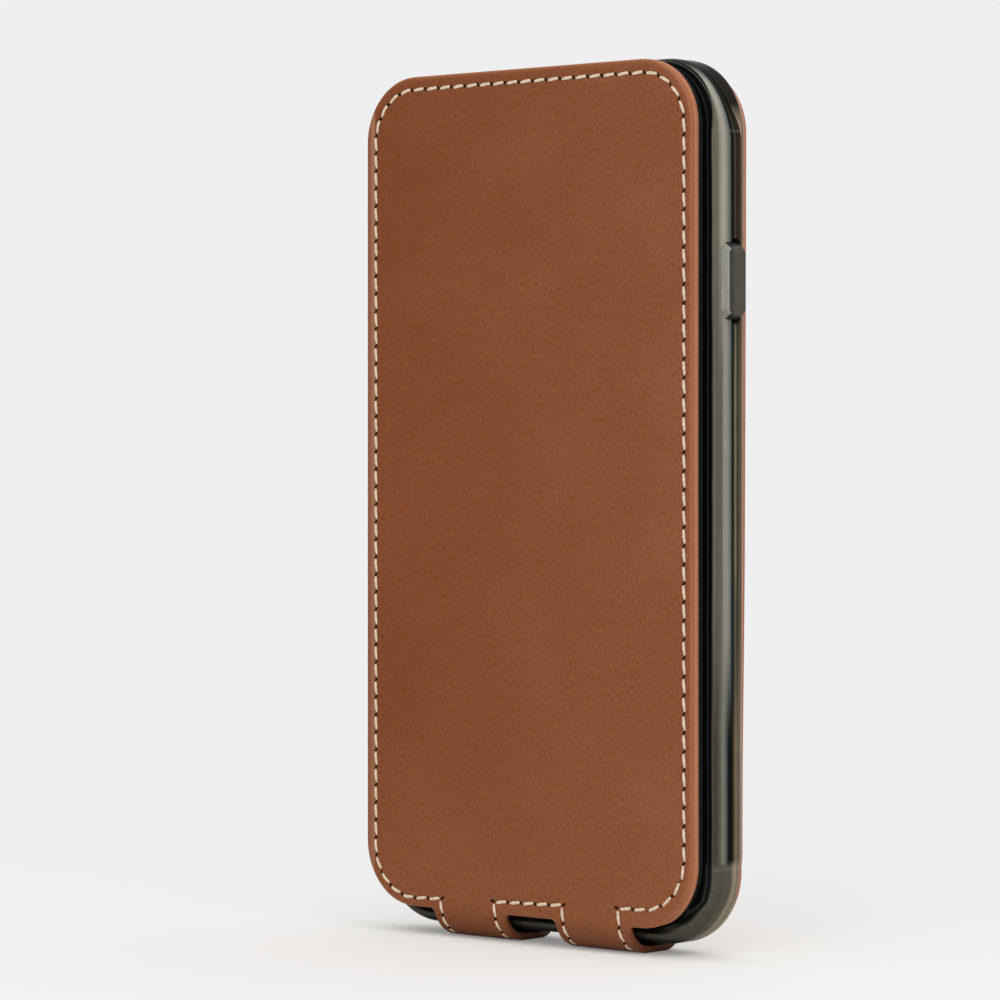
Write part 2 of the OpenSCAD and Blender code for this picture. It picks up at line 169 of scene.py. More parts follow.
def wrap(u, v, d):
    """Place in the frame of the leather's flat point (u, v), d below its outer face."""
    if v >= 0:
        y, z, ny, nz = FRONT_Y, v + FRONT_R, 1, 0
    elif v >= -FRONT_ARC:
        a = -v / FRONT_R
        y = FRONT_Y + FRONT_R - FRONT_R * cos(a)
        z = FRONT_R - FRONT_R * sin(a)
        ny, nz = cos(a), sin(a)
    elif v >= -FRONT_ARC - FLAT:
        y, z, ny, nz = FRONT_Y + FRONT_R - FRONT_ARC - v, 0, 0, 1
    elif v >= REAR_V:
        b = (-FRONT_ARC - FLAT - v) / REAR_R
        y = BACK_Y - REAR_R + REAR_R * sin(b)
        z = REAR_R - REAR_R * cos(b)
        ny, nz = -sin(b), cos(b)
    else:
        y, z, ny, nz = BACK_Y, REAR_R + REAR_V - v, -1, 0
        up = (z - PANEL_LOW) / (BACK_TOP - PANEL_LOW)
        askew = smooth(0, 1, up)
        foot = smooth(*FOOT_IN, up) * (1 - smooth(*FOOT_OUT, up))
        return Vector((u + ASKEW_X * askew - ASKEW_FOOT * foot, y - d + ASKEW_Y * askew, z)) * MM
    return Vector((u, y + ny * d, z + nz * d)) * MM


# ---------------- paths and meshes

# Steps along straight lines, in millimetres, and round arcs, and the angle from which an edge is sharp
LINE_STEP = 1
PANEL_STEP = 2
SEAM_STEP = 0.25
ARC_STEP = radians(5)
SHARP = radians(32)
LEATHER_SHARP = radians(70)
THREAD_SHARP = radians(80)
COVER_SHARP = radians(25)
# Slacks: points taken as one, a full round, a turn's last step, normals taken as parallel, and the weld
CLOSE = 1e-4
ROUND_SLACK = 0.001
TURN_SLACK = 1e-3
STRAIGHT_DOT = 0.99999
WELD = 1e-5
# Least distance of a filling point from the outline, as a share of their spacing
CLEAR_SHARE = 0.6


def rounded_path(corners, closed=True, line_step=LINE_STEP):
    """Path through corners (x, y, radius), as points with the normal on their right."""
    spots = [Vector(c[:2]) for c in corners]
    last = len(spots) - 1
    made = []
    for i, here in enumerate(spots):
        back, on = here - spots[i - 1], spots[(i + 1) % len(spots)] - here
        if not closed and i in (0, last):
            line = (back if i else on).normalized()
            made.append((here, Vector((line.y, -line.x))))
            continue
        back.normalize()
        on.normalize()
        r = corners[i][2]
        side = 1 if back.x * on.y > back.y * on.x else -1
        angle = acos(min(max(back.dot(on), -1), 1))
        out = Vector((back.y, -back.x))
        centre = here - back * (r * tan(angle / 2)) - out * (r * side)
        steps = max(3, ceil(angle / ARC_STEP - TURN_SLACK))
        for j in range(steps + 1):
            t = side * angle * j / steps
            n = Vector((out.x * cos(t) - out.y * sin(t), out.x * sin(t) + out.y * cos(t)))
            made.append((centre + n * (r * side), n))
    full = []
    for (p, n), (q, m) in zip(made, made[1:] + (made[:1] if closed else made[-1:])):
        full.append((p, n))
        gap = (q - p).length
        if n.dot(m) > STRAIGHT_DOT and gap > line_step:
            parts = ceil(gap / line_step)
            full += [(p.lerp(q, k / parts), n) for k in range(1, parts)]
    spread = full[:1]
    for p, n in full[1:]:
        if (p - spread[-1][0]).length > CLOSE:
            spread.append((p, n))
    if closed and (spread[0][0] - spread[-1][0]).length < CLOSE:
        spread.pop()
    return spread


def rectangle(x0, y0, x1, y1, r, hole=False):
    """Corners of a rounded rectangle, for rounded_path; a hole runs the other way round."""
    corners = [(x0, y0, r), (x1, y0, r), (x1, y1, r), (x0, y1, r)]
    return corners[::-1] if hole else corners


def offset(path, e):
    """The path moved e to the left of its normals, into the material."""
    return [(p.x - n.x * e, p.y - n.y * e) for p, n in path]


def edge_depth(e, r):
    """Depth of a rounded edge's surface, e in from the edge."""
    return r - sqrt(max(r * r - (r - e) ** 2, 0)) if e < r else 0


def within(spots, loops):
    """Which of the spots lie inside the loops, by the even-odd rule."""
    spots = np.asarray(spots, float)
    inside = np.zeros(len(spots), bool)
    for loop in loops:
        a = np.array(loop)
        b = np.roll(a, -1, 0)
        for (x0, y0), (x1, y1) in zip(a, b):
            if y0 == y1:
                continue
            crosses = (y0 > spots[:, 1]) != (y1 > spots[:, 1])
            inside ^= crosses & (spots[:, 0] < x0 + (spots[:, 1] - y0) * (x1 - x0) / (y1 - y0))
    return inside


def kd_tree(spots):
    """Search tree over flat points."""
    tree = KDTree(len(spots))
    for i, (x, y) in enumerate(spots):
        tree.insert((x, y, 0), i)
    tree.balance()
    return tree


def inside_points(loops, spacing, keep=None):
    """Staggered points inside the loops and clear of them."""
    ends = np.concatenate([np.array(loop) for loop in loops])
    low, high = ends.min(0), ends.max(0)
    row = spacing * sqrt(3) / 2
    grid = []
    for k, y in enumerate(np.arange(low[1] + row, high[1], row)):
        xs = np.arange(low[0] + spacing * (0.5 + 0.5 * (k % 2)), high[0], spacing)
        grid.append(np.stack([xs, np.full(len(xs), y)], 1))
    grid = np.concatenate(grid)
    if keep is not None:
        grid = grid[[keep(x, y) for x, y in grid]]
    tree = kd_tree(ends)
    return [(x, y) for x, y in grid[within(grid, loops)] if tree.find((x, y, 0))[2] > CLEAR_SHARE * spacing]


def plain(loops):
    """The loops' (x, y) without their vertices."""
    return [[(x, y) for x, y, _ in loop] for loop in loops]


def fill(bm, loops, extra=(), make=None):
    """Triangulates between loops of (x, y, vertex), through the extra points that make() adds."""
    coords, edges, verts = [], [], []
    for loop in loops:
        first = len(coords)
        for i, (x, y, vert) in enumerate(loop):
            coords.append(Vector((x, y)))
            verts.append(vert)
            edges.append((first + i, first + (i + 1) % len(loop)))
    for x, y in extra:
        coords.append(Vector((x, y)))
        verts.append(make(x, y))
    spots, _, faces, sources = delaunay_2d_cdt(coords, edges, [], 1, 1e-6)[:4]
    middles = [sum((spots[i] for i in face), Vector((0, 0))) / len(face) for face in faces]
    for face, kept in zip(faces, within(middles, plain(loops))):
        corners = [verts[sources[i][0]] for i in face if sources[i]]
        if kept and len(set(corners)) == len(face) and bm.faces.get(corners) is None:
            bm.faces.new(corners)


def ring(bm, path, e, place):
    """Vertices along the path moved e inward; place(x, y) says where each one goes."""
    return [bm.verts.new(place(x, y)) for x, y in offset(path, e)]


def loop_of(path, e, verts):
    """A ring's vertices as (x, y, vertex), for fill."""
    return [(x, y, v) for (x, y), v in zip(offset(path, e), verts)]


def skin(bm, rings):
    """Quads between each closed ring and the next."""
    for a, b in zip(rings, rings[1:]):
        for i in range(len(a)):
            j = (i + 1) % len(a)
            bm.faces.new((a[i], a[j], b[j], b[i]))


def tube(bm, rings):
    """Skin over the rings, closed at both ends."""
    skin(bm, rings)
    bm.faces.new(rings[0][::-1])
    bm.faces.new(rings[-1])


def arc(x, y, r, start, end, steps, first=0):
    """Points of an arc round (x, y) from one angle to another."""
    angles = [start + (end - start) * k / steps for k in range(first, steps + 1)]
    return [(x + r * cos(a), y + r * sin(a)) for a in angles]


def in_scene(name, data):
    """New object in the scene that shows a mesh, a lamp or a camera."""
    obj = bpy.data.objects.new(name, data)
    bpy.context.scene.collection.objects.link(obj)
    return obj


def add_object(name, bm):
    """Object from a bmesh, which is freed."""
    mesh = bpy.data.meshes.new(name)
    bm.to_mesh(mesh)
    bm.free()
    return in_scene(name, mesh)


def finish_mesh(name, bm, material, place, sharp=SHARP):
    """Object from a bmesh in millimetres, put in its place, with its rest place kept for its material."""
    bmesh.ops.recalc_face_normals(bm, faces=bm.faces)
    rest = [c for v in bm.verts for c in v.co]
    for v in bm.verts:
        v.co = place(*v.co)
    bm.normal_update()
    if bm.calc_volume(signed=True) < 0:
        bmesh.ops.reverse_faces(bm, faces=bm.faces)
        bm.normal_update()
    for e in bm.edges:
        e.smooth = not (e.is_manifold and e.calc_face_angle(0) > sharp)
    for f in bm.faces:
        f.smooth = True
    obj = add_object(name, bm)
    held = obj.data.attributes.new("rest", "FLOAT_VECTOR", "POINT")
    held.data.foreach_set("vector", rest)
    obj.data.materials.append(material)
    return obj


def as_is(x, y, z):
    return Vector((x, y, z)) * MM


# ---------------- materials

def srgb(r, g, b):
    """Linear colour of an 8-bit sRGB one."""
    return tuple(((c / 255 + 0.055) / 1.055) ** 2.4 if c > 10 else c / 255 / 12.92
                 for c in (r, g, b)) + (1,)


class Nodes:
    """Adds nodes to a material or a world, and holds its base colour and the place its patterns follow."""

    def __init__(self, owner):
        owner.use_nodes = True
        self.owner = owner
        self.tree = owner.node_tree
        self.base = None
        self.place = None

    def feed(self, socket, value):
        """Links the socket to another one, or sets its value."""
        if hasattr(value, "links"):
            self.tree.links.new(value, socket)
        else:
            socket.default_value = value

    def add(self, kind, inputs=None, **values):
        node = self.tree.nodes.new("ShaderNode" + kind)
        for key, value in values.items():
            setattr(node, key, value)
        for key, value in (inputs or {}).items():
            self.feed(node.inputs[key], value)
        return node

    def fact(self, name, output="Fac"):
        """A value that the mesh holds."""
        return self.add("Attribute", attribute_name=name).outputs[output]

    def split(self):
        return self.add("SeparateXYZ", {"Vector": self.place}).outputs

    def stretch(self, scale):
        return self.add("Mapping", {"Vector": self.place, "Scale": scale}).outputs["Vector"]

    def length(self, vector):
        return self.add("VectorMath", {0: vector}, operation="LENGTH").outputs["Value"]

    def noise(self, scale, detail, rough, stretch=None):
        vector = self.stretch(stretch) if stretch else self.place
        inputs = {"Vector": vector, "Scale": scale, "Detail": detail, "Roughness": rough}
        return self.add("TexNoise", inputs).outputs["Fac"]

    def cells(self, scale):
        return self.add("TexVoronoi", {"Vector": self.place, "Scale": scale}).outputs["Distance"]

    def ramp(self, fac, stops):
        """Colour ramp with stops (place, grey) or (place, red, green, blue)."""
        node = self.add("ValToRGB", {"Fac": fac})
        held = node.color_ramp.elements
        while len(held) < len(stops):
            held.new(0.5)
        for element, (place, *colour) in zip(held, stops):
            element.position = place
            element.color = srgb(*colour) if len(colour) == 3 else (*colour * 3, 1)
        return node.outputs["Color"]

    def span(self, value, low, high, to_low=0, to_high=1, kind="LINEAR"):
        """Straight slope from one value to another, held at both ends."""
        inputs = {"Value": value, "From Min": low, "From Max": high, "To Min": to_low, "To Max": to_high}
        return self.add("MapRange", inputs, interpolation_type=kind).outputs["Result"]

    def ease(self, value, low, high):
        """Soft step from 0 to 1."""
        return self.span(value, low, high, kind="SMOOTHSTEP")

    def mix(self, fac, a, b, blend="MIX"):
        node = self.add("Mix", data_type="RGBA", blend_type=blend)
        colours = [s for s in node.inputs if s.type == "RGBA"]
        for socket, value in zip((node.inputs[0], *colours), (fac, a, b)):
            self.feed(socket, value)
        return [s for s in node.outputs if s.type == "RGBA"][0]

    def tint(self, share, *colour):
        """Lays a share of an 8-bit colour over the base colour."""
        self.base = self.mix(share, self.base, srgb(*colour))

    def shade(self, share, factor):
        """Multiplies a share of a factor into the base colour."""
        self.base = self.mix(share, self.base, factor, "MULTIPLY")

    def math(self, operation, a, b=0):
        return self.add("Math", {0: a, 1: b}, operation=operation).outputs[0]

    def times(self, a, b):
        return self.math("MULTIPLY", a, b)

    def plus(self, a, b):
        return self.math("ADD", a, b)

    def minus(self, a, b):
        return self.math("SUBTRACT", a, b)

    def apart(self, a, b):
        """Distance between two values."""
        return self.math("ABSOLUTE", self.minus(a, b))

    def over(self, share, a, b):
        """Shader b over shader a."""
        return self.add("MixShader", {0: share, 1: a, 2: b}).outputs[0]

    def bump(self, height, distance, strength, under=None):
        inputs = {"Height": height, "Distance": distance, "Strength": strength}
        if under is not None:
            inputs["Normal"] = under
        return self.add("Bump", inputs).outputs["Normal"]

    def set(self, **values):
        """Sets the material's shader, and gives the material back."""
        for key, value in {"Base_Color": self.base, **values}.items():
            self.feed(self.tree.nodes["Principled BSDF"].inputs[key.replace("_", " ")], value)
        return self.owner


def new_material(name, bends=True):
    """New material. Its patterns follow the rest place, in millimetres, so they don't slide in a bend."""
    n = Nodes(bpy.data.materials.new(name))
    n.place = n.fact("rest", "Vector") if bends else n.add("TexCoord").outputs["Object"]
    return n


# Depths and lengths in the leather that its colours follow, in millimetres: how deep the cut edge's colours
# run, how far in the edge's pale colour reaches (partly real wear, partly painted highlight), and where
# colours fade near the foot, on the back and on the straps
EDGE_FULL = 2.4
EDGE_WEAR_AND_SHEEN = 1.2
LOW_FADE = (-4, 1, 32)
BACK_FADE = 1.5
STRAP_FADE = (-1.5, 0.5)
# Half width across which the face's painted sheen comes in, from left to right
SHEEN_HALF = 0.8 * HALF_W


def leather_material():
    """Smooth tanned leather: soft mottling, fine pores, paler cut edges with faint plies, and painted sheen,
    highlights and shade.
    """
    n = new_material("tan_leather")
    across, along, depth = n.split()
    cloud = n.noise(0.035, 3, 0.5)
    spot = n.noise(0.16, 4, 0.6)
    fibre = n.noise(2.6, 4, 0.65, (1, 0.45, 1))
    speckle = n.noise(5.2, 2, 0.7)
    pore = n.cells(2.4)
    # The cut edge, paler partly by its own finish and partly by painted highlight
    deep = n.span(depth, 0, EDGE_FULL)
    n.base = n.ramp(deep, [
        (0, 172, 112, 78), (0.06, 164, 104, 72), (0.15, 160, 98, 65), (0.27, 162, 99, 66),
        (0.38, 174, 111, 76), (0.5, 187, 124, 89), (0.62, 184, 121, 87), (0.74, 166, 106, 74),
        (0.86, 120, 78, 54), (0.95, 66, 48, 38)])
    # The back panel's edge carries a painted highlight: a pale line along it, where it meets the shell
    back_wall = n.ramp(deep, [
        (0, 160, 104, 78), (0.2, 168, 114, 86), (0.31, 178, 114, 86),
        (0.42, 188, 136, 112), (0.52, 162, 144, 120), (0.7, 120, 102, 84)])
    is_back = n.span(along, V_BACK_LOW, V_BACK_LOW - BACK_FADE)
    n.base = n.mix(is_back, n.base, back_wall)
    fray = n.noise(0.9, 3, 0.6, (1, 1, 4))
    n.shade(0.4, n.span(fray, 0.3, 0.7, 0.84, 1))
    plies = n.noise(1.3, 2, 0.6, (0.02, 0.02, 3.2))
    n.shade(0.8, n.span(plies, 0.34, 0.66, 0.82, 1.1))
    from_middle = n.apart(along, V_SPLIT)
    # Painted shade: the straps' cut edges are tinted darker than the panels' edges
    strap_ends = [V_LOW - V_SPLIT + way for way in STRAP_FADE]
    n.tint(n.span(from_middle, *strap_ends, 0.75, 0), 112, 62, 36)
    wall = n.base
    # The face, paler and pinker towards its right side as a painted sheen
    yellow = n.ramp(cloud, [(0.3, 126, 66, 28), (0.5, 130, 70, 32), (0.7, 137, 75, 38)])
    sheen_pink = n.ramp(cloud, [(0.3, 138, 80, 48), (0.5, 142, 84, 52), (0.7, 149, 91, 59)])
    n.base = n.mix(n.span(across, -SHEEN_HALF, SHEEN_HALF), yellow, sheen_pink)
    n.base = n.mix(0.25, n.base, n.ramp(spot, [(0.35, 130, 69, 37), (0.65, 141, 77, 43)]))
    starts, full, ends = [V_LOW + way for way in LOW_FADE]
    fading = n.ramp(n.span(along, V_LOW, ends), [(0, 0.36), (0.5, 0.14), (1, 0)])
    n.tint(n.times(n.span(along, starts, full), fading), 152, 96, 62)
    for field, low, high in ((fibre, 0.68, 1.18), (speckle, 0.72, 1.16)):
        n.shade(0.95, n.ramp(field, [(0.32, low), (0.5, 0.93), (0.68, high)]))
    n.shade(0.25, n.span(pore, 0.02, 0.16, 0.8, 1))
    # Painted highlight along the left margin, between the seam and the edge
    margin_highlight = n.ramp(n.span(across, -HALF_W, SEAM_LEFT - HALF_W), [
        (0.22, 0), (0.4, 0.35), (0.58, 0.75), (0.78, 1), (0.92, 0.4), (1, 0)])
    on_flap = n.ramp(n.span(along, V_LOW, V_TOP), [(0, 0), (0.04, 0.55), (1, 1)])
    n.tint(n.times(margin_highlight, on_flap), 162, 114, 86)
    # Near the edge the face takes the edge's colour: partly real wear, partly painted highlight
    wear_and_sheen = n.ramp(n.span(n.fact("edge"), 0, EDGE_WEAR_AND_SHEEN), [
        (0, 0.96), (0.16, 0.85), (0.34, 0.25), (0.55, 0.12), (1, 0)])
    n.base = n.mix(wear_and_sheen, n.base, wall)
    # Painted shade: the straps darken down their bends towards the part under the case, except on the back
    # panel
    bend_shade = n.ramp(n.span(from_middle, FLAT / 2, FLAT / 2 + FRONT_ARC), [(0, 0.6), (0.8, 0.96), (1, 1)])
    n.base = n.mix(is_back, n.mix(1, n.base, bend_shade, "MULTIPLY"), n.base)
    n.tint(n.fact("under"), 84, 54, 40)
    fine = n.bump(fibre, 0.00004, 0.5)
    pitted = n.bump(n.span(pore, 0, 0.3), 0.00003, 0.5, fine)
    return n.set(Roughness=n.span(spot, 0.3, 0.7, 0.46, 0.58),
                 Normal=n.bump(spot, 0.0003, 0.35, pitted), Specular_IOR_Level=0.15)


def thread_material(name, light, dark):
    """Waxed thread of two twisted plies, from a light and a dark 8-bit colour."""
    n = new_material(name)
    fine = n.noise(9, 2, 0.5)
    n.base = n.ramp(n.noise(3, 3, 0.6), [(0.32, *dark), (0.55, *light)])
    n.shade(0.3, n.span(fine, 0.3, 0.7, 0.75, 1.1))
    return n.set(Roughness=n.span(fine, 0.2, 0.8, 0.5, 0.75),
                 Normal=n.bump(fine, 0.00004, 0.6), Sheen_Weight=0.2)


def hole_material():
    """Shadowed slit where the needle went through."""
    n = new_material("needle_hole")
    n.base = n.ramp(n.noise(4, 2, 0.5), [(0.3, 32, 17, 11), (0.8, 60, 34, 22)])
    return n.set(Roughness=0.95, Specular_IOR_Level=0.1)


def lining_material():
    """Black pressed lining with a fine pebble, a few pale fibres and a painted highlight as a faint line
    round its edge.
    """
    n = new_material("black_lining")
    cloth = n.noise(1.4, 4, 0.6)
    fleck = n.noise(5.5, 1, 0.4)
    # Painted highlight: a faint pale line round the lining's edge
    line = n.ramp(n.span(n.split()[2], 0, 2), [(0.04, 0), (0.06, 1), (0.12, 1), (0.17, 0)])
    broken = n.span(n.noise(1.5, 3, 0.7, (0.3, 1, 1)), 0.38, 0.62, 0.25, 1)
    n.base = n.ramp(cloth, [(0.3, 3, 4, 3), (0.7, 9, 11, 10)])
    n.tint(n.times(line, broken), 96, 102, 96)
    n.tint(n.span(fleck, 0.6, 0.7, 0, 0.4), 92, 98, 96)
    pebble = n.span(n.cells(3.2), 0.5, 0)
    return n.set(Roughness=n.span(cloth, 0.3, 0.7, 0.62, 0.8),
                 Normal=n.bump(pebble, 0.00008, 0.6), Specular_IOR_Level=0.06)


def board_material():
    """Plain grey-brown fibreboard."""
    n = new_material("fibreboard", bends=False)
    fibre = n.noise(900, 4, 0.6, (1, 1, 0.3))
    n.base = n.ramp(fibre, [(0.3, 116, 104, 86), (0.7, 150, 138, 116)])
    return n.set(Roughness=0.9, Normal=n.bump(fibre, 0.0001, 0.4))


# Painted reflections and shade on the shell, as colour bands from its front edge to its rear edge, by height:
# share of the depth, colour; the front lip's black and the pale rear line are painted reflections too
RIM = [(0, 2, 3, 2), (0.07, 4, 6, 5), (0.08, 36, 40, 38), (0.092, 4, 6, 5)]
REAR_HIGHLIGHT = [(0.915, 176, 158, 138), (1, 160, 142, 122)]
REFLECTION_BANDS_HIGH = RIM + [
    (0.12, 5, 6, 4), (0.138, 110, 106, 95), (0.165, 98, 94, 83), (0.225, 102, 98, 86),
    (0.285, 147, 142, 129), (0.345, 162, 156, 142), (0.4, 154, 151, 140), (0.49, 119, 121, 116),
    (0.547, 86, 90, 89), (0.575, 24, 28, 28), (0.625, 16, 17, 14), (0.685, 70, 65, 54),
    (0.74, 32, 29, 20), (0.8, 62, 52, 39), (0.84, 38, 32, 22), (0.885, 92, 78, 60)] + REAR_HIGHLIGHT
REFLECTION_BANDS_MIDDLE = RIM + [
    (0.128, 8, 10, 8), (0.15, 86, 83, 75), (0.168, 104, 100, 90), (0.2, 86, 82, 74),
    (0.265, 94, 90, 80), (0.318, 99, 95, 83), (0.343, 140, 135, 122), (0.42, 145, 142, 131),
    (0.5, 127, 127, 119), (0.555, 86, 92, 91), (0.59, 24, 26, 24), (0.635, 36, 34, 27),
    (0.68, 126, 116, 96), (0.745, 42, 39, 30), (0.8, 92, 82, 66), (0.85, 66, 59, 46),
    (0.885, 120, 106, 90)] + REAR_HIGHLIGHT
REFLECTION_BANDS_LOW = RIM + [
    (0.118, 6, 7, 5), (0.136, 72, 69, 61), (0.2, 60, 58, 53), (0.275, 91, 87, 77),
    (0.31, 117, 113, 102), (0.36, 118, 115, 105), (0.42, 84, 86, 83), (0.465, 42, 47, 46),
    (0.5, 12, 16, 15), (0.57, 14, 15, 13), (0.61, 38, 35, 28), (0.65, 84, 72, 57),
    (0.7, 120, 105, 86), (0.77, 90, 82, 69), (0.8, 108, 98, 84), (0.86, 150, 134, 116)] + REAR_HIGHLIGHT
REFLECTION_BANDS_FOOT = [
    (0, 5, 7, 6), (0.052, 8, 10, 8), (0.066, 40, 44, 40), (0.077, 36, 40, 36), (0.096, 6, 8, 6),
    (0.112, 24, 25, 22), (0.131, 60, 60, 52), (0.146, 90, 87, 78), (0.172, 80, 77, 68), (0.3, 76, 74, 67),
    (0.48, 84, 81, 71), (0.56, 90, 85, 73), (0.604, 118, 109, 92), (0.644, 134, 124, 106),
    (0.69, 146, 134, 114), (0.735, 112, 107, 94), (0.765, 134, 124, 108), (0.85, 144, 132, 114)] + REAR_HIGHLIGHT

# Heights of the shell's straight sides, and those between which its bands change, in millimetres
STRAIGHT = (SHELL_LOW + SHELL_R, SHELL_TOP - SHELL_R)
MIDDLE_HEIGHT = (96, 128)
LOW_HEIGHT = (36, 60)
FOOT_HEIGHT = (STRAIGHT[0] + 0.9, STRAIGHT[0] + 2.3)
SHIFT_HEIGHT = (10, 8)
SQUEEZE_HEIGHT = (STRAIGHT[1] - 2, SHELL_TOP - 1.5)
# Heights between which other marks come in or fade out, and the fine rings' heights and half width
FAN_SHADE_HEIGHT = (STRAIGHT[1] + 3, SHELL_TOP)
SEEN_LEATHER = (9.5, 16.5)
DIM_HEIGHT = (38, 68)
FLAP_SHADOW_HEIGHT = (SHELL_LOW + 5, SHELL_LOW + 4)
UNDERSIDE_SHADE_HEIGHT = (SHELL_LOW + 0.75, SHELL_LOW + 1.36)
MOTTLE_HEIGHT = (8, 20)
RING_HEIGHTS = (STRAIGHT[0] + 0.7, STRAIGHT[1])
RING_W = 0.35
# From the corner to the middle of an end, aside, and from the bay's wall to its floor, in from the outline
CORNER_ASIDE = (WALL_X - 3, WALL_X - SHELL_R)
FLOOR_INSET = (WALL + LIP_IN + 0.1, WALL + LIP_IN + 0.4)


def shell_material():
    """Smoky clear moulding, with painted reflections and shade in bands from its front edge to its rear edge.
    """
    n = new_material("smoky_moulding")
    aside, depth, height = n.split()
    waver = n.noise(0.06, 2, 0.5, (0, 0, 1))
    at = n.span(n.plus(depth, n.span(waver, 0.3, 0.7, -0.06, 0.06)), SHELL_FRONT, SHELL_REAR)
    # The painted reflection bands draw together towards the top, and shift in the curve of the foot
    squeeze = n.ease(height, *SQUEEZE_HEIGHT)
    behind = n.math("MAXIMUM", n.minus(at, 0.13), 0)
    pinched = n.plus(at, n.times(behind, n.times(squeeze, 1.25)))
    corner = n.math("ABSOLUTE", aside)
    middle = n.ease(corner, *CORNER_ASIDE)
    footed = n.plus(n.plus(at, n.times(middle, 0.118)), n.span(height, *SHIFT_HEIGHT, 0, 0.05))
    n.base = n.ramp(pinched, REFLECTION_BANDS_HIGH)
    # Painted shade darkens the top corners, with two painted glints
    crown_shade = n.times(n.span(squeeze, 0, 0.5, 0, 0.96), n.span(pinched, 0.62, 0.74))
    n.tint(crown_shade, 14, 15, 12)
    fan_shade = n.ramp(n.span(height, *FAN_SHADE_HEIGHT), [(0, 0), (0.55, 0.05), (0.75, 0.6), (0.88, 0.96)])
    n.tint(n.times(fan_shade, n.span(at, 0.12, 0.15)), 10, 11, 9)
    # Painted highlight near the rear edge of the top corners
    n.tint(n.times(squeeze, n.span(at, 0.9, 0.94, 0, 0.85)), 96, 90, 76)
    # Painted shade behind the front lip at the top corners
    corner_shade = n.times(n.span(n.minus(at, n.times(squeeze, 0.08)), 0.145, 0.12), n.span(at, 0.1, 0.12))
    n.tint(corner_shade, 8, 9, 7)
    painted_glints = n.ramp(at, [(0.15, 0), (0.16, 0.3), (0.172, 0), (0.205, 0), (0.22, 0.22), (0.235, 0)])
    n.tint(n.times(painted_glints, n.span(squeeze, 0.4, 0.8)), 160, 160, 150)
    for bands, place, (low, high) in ((REFLECTION_BANDS_MIDDLE, at, MIDDLE_HEIGHT), (REFLECTION_BANDS_LOW, at, LOW_HEIGHT),
                                      (REFLECTION_BANDS_FOOT, footed, FOOT_HEIGHT)):
        n.base = n.mix(n.ease(height, high, low), n.base, n.ramp(place, bands))
    # The back leather, seen through the foot's rear edge
    seen = n.ramp(n.span(height, *SEEN_LEATHER), [(0, 0), (0.15, 0.9), (0.75, 0.9), (1, 0)])
    n.tint(n.times(seen, n.span(at, 0.765, 0.8)), 164, 112, 90)
    # Painted shadow of the flap's foot on the shell's front lip
    flap_shadow = n.times(n.span(at, 0.052, 0.03), middle)
    n.tint(n.times(flap_shadow, n.span(height, *FLAP_SHADOW_HEIGHT)), 6, 7, 6)
    # The painted reflection band at two thirds of the depth is dimmed midway up the side
    mid_line = n.ramp(at, [(0.6, 0), (0.64, 1), (0.72, 1), (0.75, 0)])
    dim_part = n.ramp(n.span(height, *DIM_HEIGHT), [(0, 0), (0.3, 0.5), (0.75, 0.5), (1, 0)])
    n.tint(n.times(mid_line, dim_part), 40, 38, 32)
    for ring_height in RING_HEIGHTS:
        line = n.span(n.apart(height, ring_height), 0, RING_W, 0.09, 0)
        n.tint(n.times(line, n.span(at, 0.13, 0.16)), 190, 186, 174)
    # Painted shade where the shell's foot turns under
    n.tint(n.span(height, *UNDERSIDE_SHADE_HEIGHT, 0.85, 0), 20, 20, 18)
    # Distance in from the shell's outline, which tells the bay's floor from its wall
    half = (SHELL_TOP - SHELL_LOW) / 2
    ways = (n.minus(corner, WALL_X - SHELL_R), n.minus(n.apart(height, SHELL_TOP - half), half - SHELL_R))
    square = [n.math("POWER", n.math("MAXIMUM", way, 0), 2) for way in ways]
    beyond = n.math("SQRT", n.plus(*square))
    short = n.math("MINIMUM", n.math("MAXIMUM", *ways), 0)
    inset = n.minus(n.minus(SHELL_R, beyond), short)
    bay = n.ramp(n.noise(0.05, 3, 0.5), [(0.3, 104, 97, 83), (0.7, 122, 114, 99)])
    n.base = n.mix(n.span(inset, *FLOOR_INSET), n.base, bay)
    streak = n.noise(2.2, 2, 0.5, (0, 1, 0.012))
    n.shade(0.45, n.span(streak, 0.3, 0.7, 0.78, 1.16))
    mottle = n.span(n.noise(1.1, 4, 0.65), 0.3, 0.55, 0.7, 1.1)
    n.shade(n.span(height, *MOTTLE_HEIGHT, 0.55, 0), mottle)
    haze = n.noise(0.4, 3, 0.5)
    n.shade(0.35, n.span(haze, 0.3, 0.7, 0.84, 1.1))
    return n.set(Roughness=n.span(haze, 0.3, 0.7, 0.16, 0.26),
                 Normal=n.bump(haze, 0.00006, 0.15), IOR=1.3, Specular_IOR_Level=0.02)


# Half width of a button cover's face with its bevels, how far aside it sits, and a bevel's width and height;
# then how softly its colours change, and where its foot turns from painted shade to clear, back from its
# middle
FACE_HALF = 2.2
FACE_ASIDE = 0.22
BEVEL = 0.85
BEVEL_H = 0.3
BEVEL_SOFT = 0.06
CLEAR_BACK = (-1.6, -1.4)


